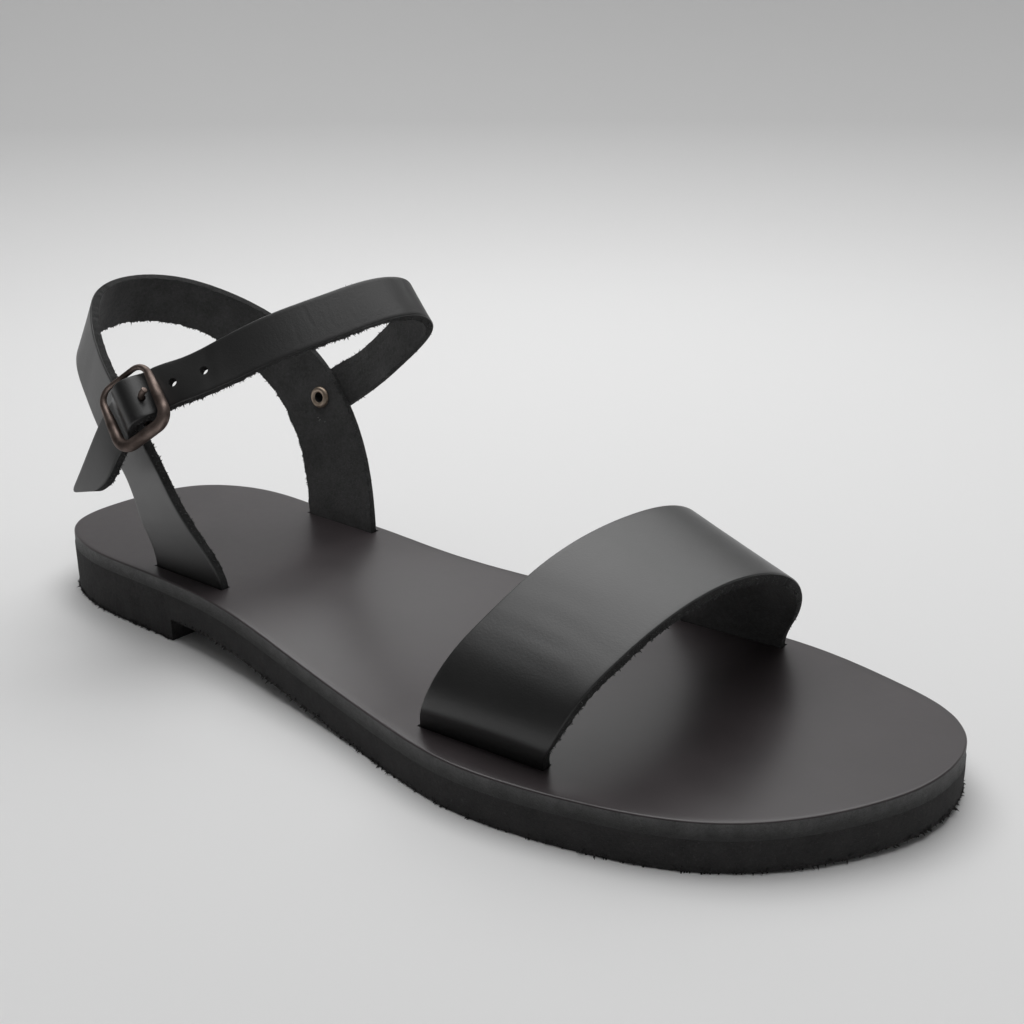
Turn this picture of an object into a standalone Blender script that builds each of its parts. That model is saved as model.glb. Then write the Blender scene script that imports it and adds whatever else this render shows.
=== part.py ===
"""Flat leather sandal for the right foot: rubber sole and heel, slotted leather insole and three straps.

The tables are in millimetres in the frame of the last: x runs from the back of the heel to the toe,
y to the inner side of the foot, z up from the floor. Objects are made in metres about the middle of
the sole, with +X to the toe, +Y to the inner side and +Z up.
"""
import math

import bmesh
import bpy
import numpy as np

MM = 0.001

# Sole layers
SEAM = 0.3
OUTSOLE_THICK = 6.9
INSOLE_THICK = 3.8
HEEL_RISE = 6.0
FORE_TOP = OUTSOLE_THICK + SEAM + INSOLE_THICK
HEEL_TOP = HEEL_RISE + FORE_TOP
TOE_SPRING = 1.5
TOE_SPRING_START = 225.0
WAIST_START = 75.0
WAIST_END = 150.0
HEEL_BREAST = 64.0
EDGE_ROUND = 0.5
INSOLE_INSET = 0.2
OUTLINE_POINTS = 720
STATIONS = 44

# Straps
FRONT_THICK = 2.4
BACK_THICK = 2.2
ANKLE_THICK = 2.2
ANKLE_WIDTH = 11.8
SLOT_CLEAR = 0.35
SLOT_DEPTH = INSOLE_THICK - 0.2
STRAP_COLUMNS = 5
FRONT_ROWS = 72
BACK_ROWS = 97
LEG_ROWS = 600
LEG_COLUMNS = 41
ANKLE_ROWS = 121
TONGUE_ROWS = 36

# Buckle and rivet
FRAME_WIRE = 1.4
FRAME_ALONG = 15.0
FRAME_ACROSS = 16.8
FRAME_CORNER = 3.6
FRAME_SIDES = 12
FRAME_ARC_STEPS = 6
FRAME_SIDE_STEPS = 3
WIRE_SIDES = 10
BAR_WIRE = 1.0
BAR_DROP = 3.4
BAR_SETBACK = 1.8
PRONG_WIRE = 0.9
PRONG_CLEAR = 0.4
PRONG_ROWS = 36
PRONG_RING = range(-20, -281, -20)
TONGUE_THICK = 1.8
TONGUE_WIDTH = 9.0
PRONG_GAP = 3.6
TONGUE_ON_LEG = (-13.0, -10.0, -7.5)
TONGUE_HOOK = range(-90, 200, 20)
HOLE_RADIUS = 1.1
HOLE_SPACING = 8.6
RIVET_TUBE = 1.9
RIVET_BORE = 1.2
RIVET_FLANGE = 3.1
RIVET_LIP = 0.8
RIVET_ROUND = 0.3
RIVET_TURNS = 24
ROD_SIDES = 16

# Outline of the sole, once round from the back of the heel along the outer side to the toe
OUTLINE = [
    # x, y
    (0.0, 0.0), (5.0, -21.5), (20.0, -30.5), (50.0, -33.0), (80.0, -34.0), (115.0, -38.0),
    (145.0, -42.5), (175.0, -47.0), (190.0, -45.5), (205.0, -42.0), (220.0, -36.5), (234.0, -27.0),
    (247.0, -11.0), (253.5, 3.0), (255.0, 14.0), (252.0, 27.5), (243.5, 37.5), (229.0, 44.0),
    (200.0, 49.0), (170.0, 46.0), (140.0, 41.5), (104.0, 32.0), (85.0, 30.5), (50.0, 32.0),
    (20.0, 31.0), (5.0, 21.5),
]

# Outer face of the front strap from the outer slot to the inner slot: its front edge and its rear edge,
# with heights above the insole
FRONT_STRAP = [
    # front x, y, height, rear x, y, height
    (191.5, -37.0, 0.0, 160.0, -39.5, 0.0),
    (193.5, -38.5, 4.5, 162.0, -41.0, 5.5),
    (197.0, -36.5, 13.0, 165.0, -37.5, 15.0),
    (200.0, -28.5, 20.5, 168.5, -27.0, 24.0),
    (203.0, -16.0, 26.5, 171.5, -12.5, 31.5),
    (207.0, 6.0, 30.5, 176.0, 12.0, 36.5),
    (209.0, 26.5, 26.0, 178.5, 34.0, 33.0),
    (208.0, 36.5, 19.0, 177.0, 43.0, 24.5),
    (204.5, 42.5, 9.5, 173.0, 45.0, 11.5),
    (200.5, 45.0, 0.0, 169.0, 43.5, 0.0),
]

# Middle of the back strap from a slot to the back of the heel, for both legs; its heights and the ankle
# strap's are above the insole at the heel
BACK_STRAP = [
    # upper edge x, y, height, lower edge x, y, height
    (79.5, 26.5, 0.0, 52.5, 27.0, 0.0),
    (73.0, 31.0, 17.5, 50.0, 28.5, 12.5),
    (64.5, 33.0, 33.0, 46.0, 29.0, 23.5),
    (53.0, 32.5, 46.5, 38.0, 29.5, 33.5),
    (40.0, 29.0, 56.0, 28.0, 27.0, 42.5),
    (27.0, 22.0, 63.0, 17.5, 22.0, 50.0),
    (17.0, 12.5, 67.5, 10.5, 12.5, 54.5),
    (13.5, 0.0, 69.0, 7.5, 0.0, 56.0),
]

# The ankle strap's free end, cut on a slant, from its tip to the buckle
ANKLE_TAIL = [
    # upper edge x, y, height, lower edge x, y, height
    (36.0, -39.5, 20.0, 53.0, -41.5, 24.5),
    (44.0, -39.0, 31.0, 58.0, -41.0, 30.0),
]
# Middle of the ankle strap's loop; its upper edge lies back from and inward of its lower edge
ANKLE_LOOP = [
    # x, y, height, back, inward
    (72.5, -27.5, 53.5, 8.0, 3.0),
    (79.5, -21.5, 57.5, 7.5, 2.5),
    (87.5, -12.0, 63.0, 7.0, 1.5),
    (95.0, 1.5, 67.5, 7.0, 1.0),
    (99.0, 14.0, 70.0, 7.5, 1.0),
    (100.0, 23.5, 69.0, 8.0, 1.5),
    (97.0, 29.5, 65.0, 8.5, 1.0),
    (90.5, 33.0, 59.0, 9.5, 1.5),
    (81.5, 34.5, 52.0, 9.5, 2.0),
    (71.0, 35.5, 44.5, 9.0, 2.0),
]
# Where the ankle strap lies on the inner leg: forward of it, at the rivet and at its end
ANKLE_ON_LEG = [
    # x, height
    (60.0, 38.0),
    (55.0, 34.5),
    (47.0, 29.0),
]
ANKLE_LEG_GAP = 0.45
ANKLE_LEG_BACK = 7.0
# How the ankle strap threads the buckle, seen along the bars
ANKLE_IN_BUCKLE = [
    # along, down, out
    (-7.5, 0.2, -3.1),
    (-5.1, -0.1, -2.1),
    (-2.5, -0.4, 0.5),
    (0.0, -0.6, 1.65),
    (2.5, -0.7, 0.5),
    (5.1, -0.9, -2.1),
    (7.5, -1.0, -3.1),
]
# The prong in the buckle's middle plane, after its ring round the centre bar
PRONG_REACH = [
    # along, out
    (2.4, -0.7),
    (3.7, 1.0),
    (5.0, 2.3),
    (6.5, 2.9),
]
BUCKLE_CENTRE = np.array([64.0, -37.5, HEEL_TOP + 47.5])
BUCKLE_FORWARD = np.array([0.68, 0.44, 0.58])
BUCKLE_DOWN = np.array([0.70, -0.15, -0.70])

BLACK_LEATHER = (0.012, 0.012, 0.012, 1.0)
BLACK_RUBBER = (0.010, 0.010, 0.010, 1.0)
DULL_BRASS = (0.30, 0.23, 0.17, 1.0)


def unit(vector):
    return vector / np.linalg.norm(vector)


def spline(rows, count, closed=False):
    """Points read at even steps along a cubic spline through the rows, in any number of columns."""
    knots = np.array(rows, dtype=float)
    if closed:
        knots = np.vstack([knots, knots[:1]])
    span = np.linalg.norm(np.diff(knots, axis=0), axis=1)
    slope = np.diff(knots, axis=0) / span[:, None]
    last = len(knots) - 1
    matrix = np.zeros((last + 1, last + 1))
    right = np.zeros_like(knots)
    for i in range(1, last):
        matrix[i, i - 1:i + 2] = span[i - 1], 2 * (span[i - 1] + span[i]), span[i]
        right[i] = 6 * (slope[i] - slope[i - 1])
    matrix[0, 0] = 1
    if closed:
        matrix[0, last] = -1
        matrix[last, :2] += 2 * span[0], span[0]
        matrix[last, last - 1:] += span[-1], 2 * span[-1]
        right[last] = 6 * (slope[0] - slope[-1])
    else:
        matrix[last, last] = 1
    bend = np.linalg.solve(matrix, right)
    at = np.concatenate([[0.0], np.cumsum(span)])
    read = np.linspace(0.0, at[-1], count, endpoint=not closed)
    i = np.clip(np.searchsorted(at, read, side="right") - 1, 0, last - 1)
    after = (read - at[i])[:, None]
    before = (at[i + 1] - read)[:, None]
    width = span[i][:, None]
    curve = (bend[i] * before ** 3 + bend[i + 1] * after ** 3) / (6 * width)
    curve += (knots[i] / width - bend[i] * width / 6) * before
    curve += (knots[i + 1] / width - bend[i + 1] * width / 6) * after
    return curve


OUTLINE_CURVE = spline(OUTLINE, OUTLINE_POINTS, closed=True)
ORIGIN = np.array([*(OUTLINE_CURVE.min(axis=0) + OUTLINE_CURVE.max(axis=0)) / 2, 0.0])


def ease(value):
    value = min(max(value, 0.0), 1.0)
    return value * value * (3 - 2 * value)


def outsole_floor(x):
    """Underside of the outsole: raised by the heel, level at the ball, springing up at the toe."""
    heel = HEEL_RISE * (1 - ease((x - WAIST_START) / (WAIST_END - WAIST_START)))
    length = OUTLINE_CURVE[:, 0].max() - TOE_SPRING_START
    toe = TOE_SPRING * max(0.0, (x - TOE_SPRING_START) / length) ** 2
    return heel + toe


def outsole_top(x):
    return outsole_floor(x) + OUTSOLE_THICK


def insole_floor(x):
    return outsole_top(x) + SEAM


def raised(rows, columns, height):
    """Turns heights above the insole into heights above the floor."""
    table = np.array(rows)
    table[:, columns] += height
    return table


def insole_top(x):
    return insole_floor(x) + INSOLE_THICK


def finish(name, mesh, colour, roughness, metallic=0.0, smooth_angle=40):
    """A named object with its own material, faces outward and round faces shaded smooth."""
    mesh.name = name
    part = bpy.data.objects.new(name, mesh)
    bpy.context.scene.collection.objects.link(part)
    material = bpy.data.materials.new(name)
    material.use_nodes = True
    shader = material.node_tree.nodes["Principled BSDF"]
    shader.inputs["Base Color"].default_value = colour
    shader.inputs["Roughness"].default_value = roughness
    shader.inputs["Metallic"].default_value = metallic
    mesh.materials.append(material)
    mesh.shade_smooth()
    mesh.set_sharp_from_angle(angle=math.radians(smooth_angle))
    return part


def mesh_of(points, faces):
    """Closed mesh in metres about the sole's middle, from points in the last's millimetres."""
    mesh = bpy.data.meshes.new("mesh")
    mesh.from_pydata(((np.array(points) - ORIGIN) * MM).tolist(), [], faces)
    work = bmesh.new()
    work.from_mesh(mesh)
    bmesh.ops.recalc_face_normals(work, faces=work.faces)
    work.to_mesh(mesh)
    work.free()
    return mesh


def grid_faces(rows, columns, first=0, closed=False):
    faces = []
    for i in range(rows if closed else rows - 1):
        for j in range(columns - 1):
            a = first + i * columns + j
            b = first + (i + 1) % rows * columns + j
            faces.append((a, a + 1, b + 1, b))
    return faces


def side_reach(x, inner):
    """Where the outline's inner or outer side lies at station x."""
    tip = OUTLINE_CURVE[:, 0].argmax()
    side = OUTLINE_CURVE[tip:] if inner else OUTLINE_CURVE[:tip + 1]
    order = side[:, 0].argsort()
    return np.interp(x, side[order, 0], side[order, 1])


def station_ring(end):
    """The outline up to station end as one ring of points, closer together at the round ends."""
    tip = OUTLINE_CURVE[OUTLINE_CURVE[:, 0].argmax()]
    whole = end >= tip[0]
    turn = math.pi if whole else math.pi / 2
    reach = 1 - math.cos(turn)
    stations = [end * (1 - math.cos(turn * k / STATIONS)) / reach for k in range(1, STATIONS + 1)]
    if whole:
        stations = stations[:-1]
    outer = [(x, side_reach(x, False)) for x in stations]
    inner = [(x, side_reach(x, True)) for x in reversed(stations)]
    middle = [tuple(tip)] if whole else []
    return np.array([tuple(OUTLINE_CURVE[0]), *outer, *middle, *inner])


def inset_ring(ring, amount):
    """The ring moved inward square to its own edge."""
    along = np.roll(ring, -1, axis=0) - np.roll(ring, 1, axis=0)
    inward = np.stack([-along[:, 1], along[:, 0]], axis=1)
    return ring + amount * inward / np.linalg.norm(inward, axis=1)[:, None]


def plate(end, profile):
    """A sole layer up to station end; profile rows give an inset of the edge and a height function."""
    ring = station_ring(end)
    size = len(ring)
    points = []
    for inset, height in profile:
        points += [(x, y, height(x)) for x, y in inset_ring(ring, inset)]
    faces = []
    for level in range(len(profile) - 1):
        low = level * size
        for k in range(size):
            nxt = (k + 1) % size
            faces.append((low + k, low + nxt, low + size + nxt, low + size + k))
    for low in (0, (len(profile) - 1) * size):
        faces.append((low, low + 1, low + size - 1))
        faces += [(low + k, low + k + 1, low + size - k - 1, low + size - k)
                  for k in range(1, (size - 1) // 2)]
        if size % 2 == 0:
            middle = size // 2
            faces.append((low + middle - 1, low + middle, low + middle + 1))
    return mesh_of(points, faces)


def shifted(height, amount):
    return lambda x: height(x) + amount


def ribbon(edge_a, edge_b, thick, columns, out=0.0):
    """A strap of even thickness between two edge curves; out moves it off them along its normal."""
    rows = len(edge_a)
    share = np.linspace(0.0, 1.0, columns)[None, :, None]
    middle = edge_a[:, None, :] * (1 - share) + edge_b[:, None, :] * share
    normal = np.cross(np.gradient(middle, axis=0), np.gradient(middle, axis=1))
    normal /= np.linalg.norm(normal, axis=2)[..., None]
    layers = [middle + normal * (out + side * thick / 2) for side in (1, -1)]
    points = np.vstack([layer.reshape(-1, 3) for layer in layers])
    size = rows * columns
    faces = grid_faces(rows, columns) + grid_faces(rows, columns, size)
    for j in (0, columns - 1):
        for i in range(rows - 1):
            a = i * columns + j
            faces.append((a, a + columns, a + columns + size, a + size))
    for i in (0, rows - 1):
        for j in range(columns - 1):
            a = i * columns + j
            faces.append((a, a + 1, a + 1 + size, a + size))
    return mesh_of(points, faces), normal


def tube(path, axis, radius, sides, closed=False):
    """A round wire along a path whose sections all hold the same axis."""
    path = np.array(path)
    if closed:
        along = np.roll(path, -1, axis=0) - np.roll(path, 1, axis=0)
    else:
        along = np.gradient(path, axis=0)
    points = []
    for place, forward in zip(path, along):
        across = unit(np.cross(forward, axis))
        over = unit(np.cross(across, forward))
        for k in range(sides):
            angle = 2 * math.pi * k / sides
            points.append(place + radius * (math.cos(angle) * across + math.sin(angle) * over))
    rows = len(path)
    faces = []
    for i in range(rows if closed else rows - 1):
        for k in range(sides):
            a, b = i * sides, (i + 1) % rows * sides
            faces.append((a + k, a + (k + 1) % sides, b + (k + 1) % sides, b + k))
    if not closed:
        faces.append(tuple(range(sides)))
        faces.append(tuple(range((rows - 1) * sides, rows * sides)))
    return mesh_of(points, faces)


def cutter(mesh, name):
    tool = bpy.data.objects.new(name, mesh)
    bpy.context.scene.collection.objects.link(tool)
    tool.hide_render = True
    tool.display_type = "WIRE"
    return tool


def boolean(part, tool_mesh, operation, name):
    tool = cutter(tool_mesh, name)
    step = part.modifiers.new(name, "BOOLEAN")
    step.operation = operation
    step.solver = "EXACT"
    step.object = tool


def box_of(centre, axes, sizes):
    """A box from its centre, three square axes and its full sizes along them."""
    points = []
    for i in (-0.5, 0.5):
        for j in (-0.5, 0.5):
            for k in (-0.5, 0.5):
                points.append(centre + np.array([i, j, k]) * sizes @ np.array(axes))
    faces = [(0, 1, 3, 2), (4, 6, 7, 5), (0, 4, 5, 1), (2, 3, 7, 6), (0, 2, 6, 4), (1, 5, 7, 3)]
    return mesh_of(points, faces)


def with_slot_rows(rows):
    """The strap's rows with its two ends led straight down into the insole's slots."""
    def sunk(row, depth):
        row = np.array(row)
        return row - np.array([0, 0, depth, 0, 0, depth])
    steps = (SLOT_DEPTH, SLOT_DEPTH / 2)
    start = [sunk(rows[0], depth) for depth in steps]
    end = [sunk(rows[-1], depth) for depth in reversed(steps)]
    return np.vstack([start, rows, end])


def slot_cutter(edge_a, edge_b, out, thick):
    """The slot in the insole round one strap end, from the end's two edge points."""
    along = unit((edge_a - edge_b) * np.array([1, 1, 0]))
    across = np.array([-along[1], along[0], 0.0])
    centre = (edge_a + edge_b) / 2 + across * out
    length = np.linalg.norm((edge_a - edge_b)[:2]) + 2 * SLOT_CLEAR
    up = np.array([0.0, 0.0, 1.0])
    return box_of(centre, (along, across, up), (length, thick + 2 * SLOT_CLEAR, 4 * INSOLE_THICK))


def make_sole():
    tip = OUTLINE_CURVE[:, 0].max()
    heel = plate(HEEL_BREAST, [
        (EDGE_ROUND, lambda x: 0.0),
        (0.0, lambda x: EDGE_ROUND),
        (0.0, lambda x: HEEL_RISE - SEAM),
    ])
    finish("heel_lift", heel, BLACK_RUBBER, 0.75)
    outsole = plate(tip, [
        (EDGE_ROUND, outsole_floor),
        (0.0, shifted(outsole_floor, EDGE_ROUND)),
        (0.0, outsole_top),
    ])
    finish("outsole", outsole, BLACK_RUBBER, 0.75)
    insole = plate(tip, [
        (INSOLE_INSET, insole_floor),
        (INSOLE_INSET, shifted(insole_top, -2 * EDGE_ROUND)),
        (INSOLE_INSET + EDGE_ROUND / 3, shifted(insole_top, -EDGE_ROUND / 3)),
        (INSOLE_INSET + 2 * EDGE_ROUND, insole_top),
    ])
    return finish("insole", insole, BLACK_LEATHER, 0.45)


def make_front_strap(insole):
    rows = with_slot_rows(raised(FRONT_STRAP, [2, 5], FORE_TOP))
    curve = spline(rows, FRONT_ROWS)
    front, rear = curve[:, :3], curve[:, 3:]
    mesh, normal = ribbon(front, rear, FRONT_THICK, STRAP_COLUMNS, out=-FRONT_THICK / 2)
    finish("front_strap", mesh, BLACK_LEATHER, 0.42)
    for end, name in ((0, "front_slot_outer"), (-1, "front_slot_inner")):
        lean = unit((front[end] - rear[end]) * np.array([1, 1, 0]))
        out = -FRONT_THICK / 2 * np.sign(np.dot(normal[end, STRAP_COLUMNS // 2], [-lean[1], lean[0], 0]))
        boolean(insole, slot_cutter(front[end], rear[end], out, FRONT_THICK), "DIFFERENCE", name)


def back_strap_curve():
    inner = raised(BACK_STRAP, [2, 5], HEEL_TOP)
    outer = inner * np.array([1, -1, 1, 1, -1, 1])
    return spline(with_slot_rows(np.vstack([outer[:-1], inner[::-1]])), BACK_ROWS)


def leg_side(curve, x, z):
    """How far out the middle of the inner leg lies at x and z, and its outward normal there."""
    leg = curve[len(curve) // 2:]
    share = np.linspace(0.0, 1.0, LEG_COLUMNS)[None, :, None]
    fine = spline(leg, LEG_ROWS)
    sheet = fine[:, None, :3] * (1 - share) + fine[:, None, 3:] * share
    miss = (sheet[..., 0] - x) ** 2 + (sheet[..., 2] - z) ** 2
    i, j = np.unravel_index(miss.argmin(), miss.shape)
    i = min(max(i, 1), len(fine) - 2)
    normal = unit(np.cross(sheet[i + 1, j] - sheet[i - 1, j], sheet[i, -1] - sheet[i, 0]))
    return sheet[i, j, 1], normal * np.sign(normal[1])


def buckle_axes():
    forward = unit(BUCKLE_FORWARD)
    down = unit(BUCKLE_DOWN - np.dot(BUCKLE_DOWN, forward) * forward)
    return forward, down, np.cross(down, forward)


def in_buckle(along, down, out):
    axes = buckle_axes()
    return BUCKLE_CENTRE + along * axes[0] + down * axes[1] + out * axes[2]


def make_tongue(curve, downs):
    """One tongue of the outer leg's front edge, hooked round the buckle's centre bar beside the prong."""
    hook_radius = BAR_WIRE + SEAM + TONGUE_THICK / 2
    edges = []
    for down in downs:
        rows = []
        for along in TONGUE_ON_LEG:
            place = in_buckle(along, down, 0.0)
            rows.append((place[0], -leg_side(curve, place[0], place[2])[0], place[2]))
        for degrees in TONGUE_HOOK:
            angle = math.radians(degrees)
            rows.append(in_buckle(hook_radius * math.cos(angle), down,
                                  hook_radius * math.sin(angle) - BAR_DROP))
        edges.append(spline(rows, TONGUE_ROWS))
    return ribbon(edges[0], edges[1], TONGUE_THICK, 3)[0]


def make_back_strap(insole, curve):
    upper, lower = curve[:, :3], curve[:, 3:]
    mesh, _ = ribbon(upper, lower, BACK_THICK, STRAP_COLUMNS)
    strap = finish("back_strap", mesh, BLACK_LEATHER, 0.45)
    for end, name in ((0, "back_slot_outer"), (-1, "back_slot_inner")):
        boolean(insole, slot_cutter(upper[end], lower[end], 0.0, BACK_THICK), "DIFFERENCE", name)
    for side in (-1, 1):
        downs = (side * PRONG_GAP / 2, side * TONGUE_WIDTH / 2)
        boolean(strap, make_tongue(curve, downs), "UNION", "buckle_tongue")
    return strap


def ankle_rows(curve):
    """Rows of the ankle strap's two edges: tail, buckle, loop and riveted end."""
    rows = list(raised(ANKLE_TAIL, [2, 5], HEEL_TOP))
    for along, down, out in ANKLE_IN_BUCKLE:
        edges = [in_buckle(along, down + side * ANKLE_WIDTH / 2, out) for side in (-1, 1)]
        rows.append(np.concatenate(edges))
    for x, y, z, back, inward in raised(ANKLE_LOOP, 2, HEEL_TOP):
        up = math.sqrt(ANKLE_WIDTH ** 2 - back ** 2 - inward ** 2)
        middle = np.array([x, y, z])
        half = np.array([-back, inward, up]) / 2
        rows.append(np.concatenate([middle + half, middle - half]))
    off = BACK_THICK / 2 + ANKLE_LEG_GAP + ANKLE_THICK / 2
    height = math.sqrt(ANKLE_WIDTH ** 2 - ANKLE_LEG_BACK ** 2)
    for x, z in raised(ANKLE_ON_LEG, 1, HEEL_TOP):
        edges = []
        for side in (0.5, -0.5):
            at_x, at_z = x - side * ANKLE_LEG_BACK, z + side * height
            reach, normal = leg_side(curve, at_x, at_z)
            edges.append(np.array([at_x, reach, at_z]) + off * normal)
        rows.append(np.concatenate(edges))
    return np.array(rows)


def rivet_place(curve):
    x, z = raised(ANKLE_ON_LEG, 1, HEEL_TOP)[1]
    reach, normal = leg_side(curve, x, z)
    return np.array([x, reach, z]), normal


def rod(start, end, radius):
    lean = unit(np.cross(end - start, np.array([0.3, 0.2, 1.0])))
    return tube([start, (start + end) / 2, end], lean, radius, ROD_SIDES)


def make_ankle_strap(back_strap, curve):
    edges = spline(ankle_rows(curve), ANKLE_ROWS)
    mesh, normal = ribbon(edges[:, :3], edges[:, 3:], ANKLE_THICK, STRAP_COLUMNS)
    strap = finish("ankle_strap", mesh, BLACK_LEATHER, 0.42)
    middle = (edges[:, :3] + edges[:, 3:]) / 2
    walked = np.concatenate([[0.0], np.cumsum(np.linalg.norm(np.diff(middle, axis=0), axis=1))])
    prong_at = in_buckle(PRONG_REACH[1][0], 0.0, 0.0)
    first = walked[np.linalg.norm(middle - prong_at, axis=1).argmin()]
    for step in (1, 2):
        i = np.abs(walked - first - step * HOLE_SPACING).argmin()
        reach = 1.5 * ANKLE_THICK * normal[i, STRAP_COLUMNS // 2]
        boolean(strap, rod(middle[i] - reach, middle[i] + reach, HOLE_RADIUS), "DIFFERENCE", f"hole_{step}")
    boolean(strap, prong_wire(PRONG_WIRE + PRONG_CLEAR), "DIFFERENCE", "prong_hole")
    place, out = rivet_place(curve)
    reach = 2 * (BACK_THICK + ANKLE_THICK) * out
    for part in (back_strap, strap):
        hole = rod(place - reach, place + reach, RIVET_TUBE + SEAM)
        boolean(part, hole, "DIFFERENCE", "rivet_hole")


def rounded_rectangle(along, across, corner, arc_steps, side_steps):
    """Points round a rectangle with arcs at its corners, as along and across distances."""
    centres = [(1, 1, 0), (-1, 1, 90), (-1, -1, 180), (1, -1, 270)]
    points = []
    for side_a, side_b, start in centres:
        for k in range(arc_steps + 1):
            angle = math.radians(start + 90 * k / arc_steps)
            points.append((side_a * (along / 2 - corner) + corner * math.cos(angle),
                           side_b * (across / 2 - corner) + corner * math.sin(angle)))
    full = []
    for k, point in enumerate(points):
        full.append(point)
        if k % (arc_steps + 1) == arc_steps:
            ahead = points[(k + 1) % len(points)]
            for step in range(1, side_steps):
                share = step / side_steps
                full.append(tuple(p + (q - p) * share for p, q in zip(point, ahead)))
    return full


def make_buckle_frame():
    out = buckle_axes()[2]
    ring = [in_buckle(a, d, 0.0) for a, d in
            rounded_rectangle(FRAME_ALONG, FRAME_ACROSS, FRAME_CORNER, FRAME_ARC_STEPS, FRAME_SIDE_STEPS)]
    wire = tube(ring, out, FRAME_WIRE, FRAME_SIDES, closed=True)
    frame = finish("buckle_frame", wire, DULL_BRASS, 0.38, 1.0)
    half = FRAME_ACROSS / 2
    arm = [(half, 0.0), (half - BAR_SETBACK / 4, -BAR_DROP / 2), (half - BAR_SETBACK, -BAR_DROP)]
    bar_rows = [(-down, out_by) for down, out_by in arm] + [(0.0, -BAR_DROP)] + arm[::-1]
    bar = [in_buckle(0.0, down, out_by) for down, out_by in bar_rows]
    boolean(frame, tube(bar, buckle_axes()[0], BAR_WIRE, WIRE_SIDES), "UNION", "centre_bar")


def prong_wire(radius):
    ring_radius = BAR_WIRE + SEAM + PRONG_WIRE
    rows = []
    for degrees in PRONG_RING:
        angle = math.radians(degrees)
        rows.append(in_buckle(ring_radius * math.cos(angle), 0.0, ring_radius * math.sin(angle) - BAR_DROP))
    rows += [in_buckle(along, 0.0, out) for along, out in PRONG_REACH]
    return tube(spline(rows, PRONG_ROWS), buckle_axes()[1], radius, WIRE_SIDES)


def make_rivet(curve):
    """A hollow tube rivet, its flanges on the leg's inside and the ankle strap's outside."""
    place, out = rivet_place(curve)
    inner_seat = -BACK_THICK / 2 - SEAM
    outer_seat = BACK_THICK / 2 + ANKLE_LEG_GAP + ANKLE_THICK + SEAM
    profile = [
        # radius, height along the rivet
        (RIVET_BORE, outer_seat + RIVET_LIP),
        (RIVET_FLANGE - 2 * RIVET_ROUND, outer_seat + RIVET_LIP),
        (RIVET_FLANGE, outer_seat + RIVET_ROUND),
        (RIVET_FLANGE - RIVET_ROUND, outer_seat),
        (RIVET_TUBE, outer_seat),
        (RIVET_TUBE, inner_seat),
        (RIVET_FLANGE - RIVET_ROUND, inner_seat),
        (RIVET_FLANGE, inner_seat - RIVET_ROUND),
        (RIVET_FLANGE - 2 * RIVET_ROUND, inner_seat - RIVET_LIP),
        (RIVET_BORE, inner_seat - RIVET_LIP),
    ]
    side = unit(np.cross(out, np.array([0.0, 0.0, 1.0])))
    over = np.cross(out, side)
    points = []
    for k in range(RIVET_TURNS):
        angle = 2 * math.pi * k / RIVET_TURNS
        spoke = math.cos(angle) * side + math.sin(angle) * over
        points += [place + radius * spoke + height * out for radius, height in profile]
    faces = grid_faces(RIVET_TURNS, len(profile), closed=True)
    for k in range(RIVET_TURNS):
        a, b = k * len(profile), (k + 1) % RIVET_TURNS * len(profile)
        faces.append((a, b, b + len(profile) - 1, a + len(profile) - 1))
    finish("rivet", mesh_of(points, faces), DULL_BRASS, 0.35, 1.0)


def main():
    for old in list(bpy.data.objects):
        bpy.data.objects.remove(old)
    curve = back_strap_curve()
    insole = make_sole()
    make_front_strap(insole)
    back_strap = make_back_strap(insole, curve)
    make_ankle_strap(back_strap, curve)
    make_buckle_frame()
    finish("buckle_prong", prong_wire(PRONG_WIRE), DULL_BRASS, 0.38, 1.0)
    make_rivet(curve)


main()
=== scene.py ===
"""Looks of a flat leather sandal for the right foot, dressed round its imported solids.

Sizes are in millimetres in the frame of the last: x runs from the back of the heel to the toe, y to the
inner side of the foot, z up from the floor. Meshes are made in metres about the middle of the sole.
"""
import math

import bpy
import numpy as np
from mathutils import Matrix, Vector, noise


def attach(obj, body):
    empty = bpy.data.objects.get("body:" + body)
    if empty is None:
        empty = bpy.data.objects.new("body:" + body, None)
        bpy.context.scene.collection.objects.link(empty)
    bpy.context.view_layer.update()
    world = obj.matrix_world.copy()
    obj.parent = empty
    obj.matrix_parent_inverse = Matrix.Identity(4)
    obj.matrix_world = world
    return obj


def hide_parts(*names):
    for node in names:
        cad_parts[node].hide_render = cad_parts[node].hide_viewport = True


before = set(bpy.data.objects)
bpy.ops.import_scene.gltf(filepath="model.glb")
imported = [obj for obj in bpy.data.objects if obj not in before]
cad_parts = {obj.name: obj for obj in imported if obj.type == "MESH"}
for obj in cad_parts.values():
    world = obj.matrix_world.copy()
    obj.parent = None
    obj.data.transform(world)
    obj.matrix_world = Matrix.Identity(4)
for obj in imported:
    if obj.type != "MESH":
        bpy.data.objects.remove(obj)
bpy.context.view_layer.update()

MM = 0.001
FRAME_PIXELS = 1024

# Camera, worked out from the outline of the sole
FOCAL_PIXELS = 1300.0
SENSOR = 36.0
CAMERA_PLACE = (332.5, -214.0, 145.5)
CAMERA_AZIMUTH = 40.0
CAMERA_PITCH = 19.5
CAMERA_ROLL = -0.4

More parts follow.
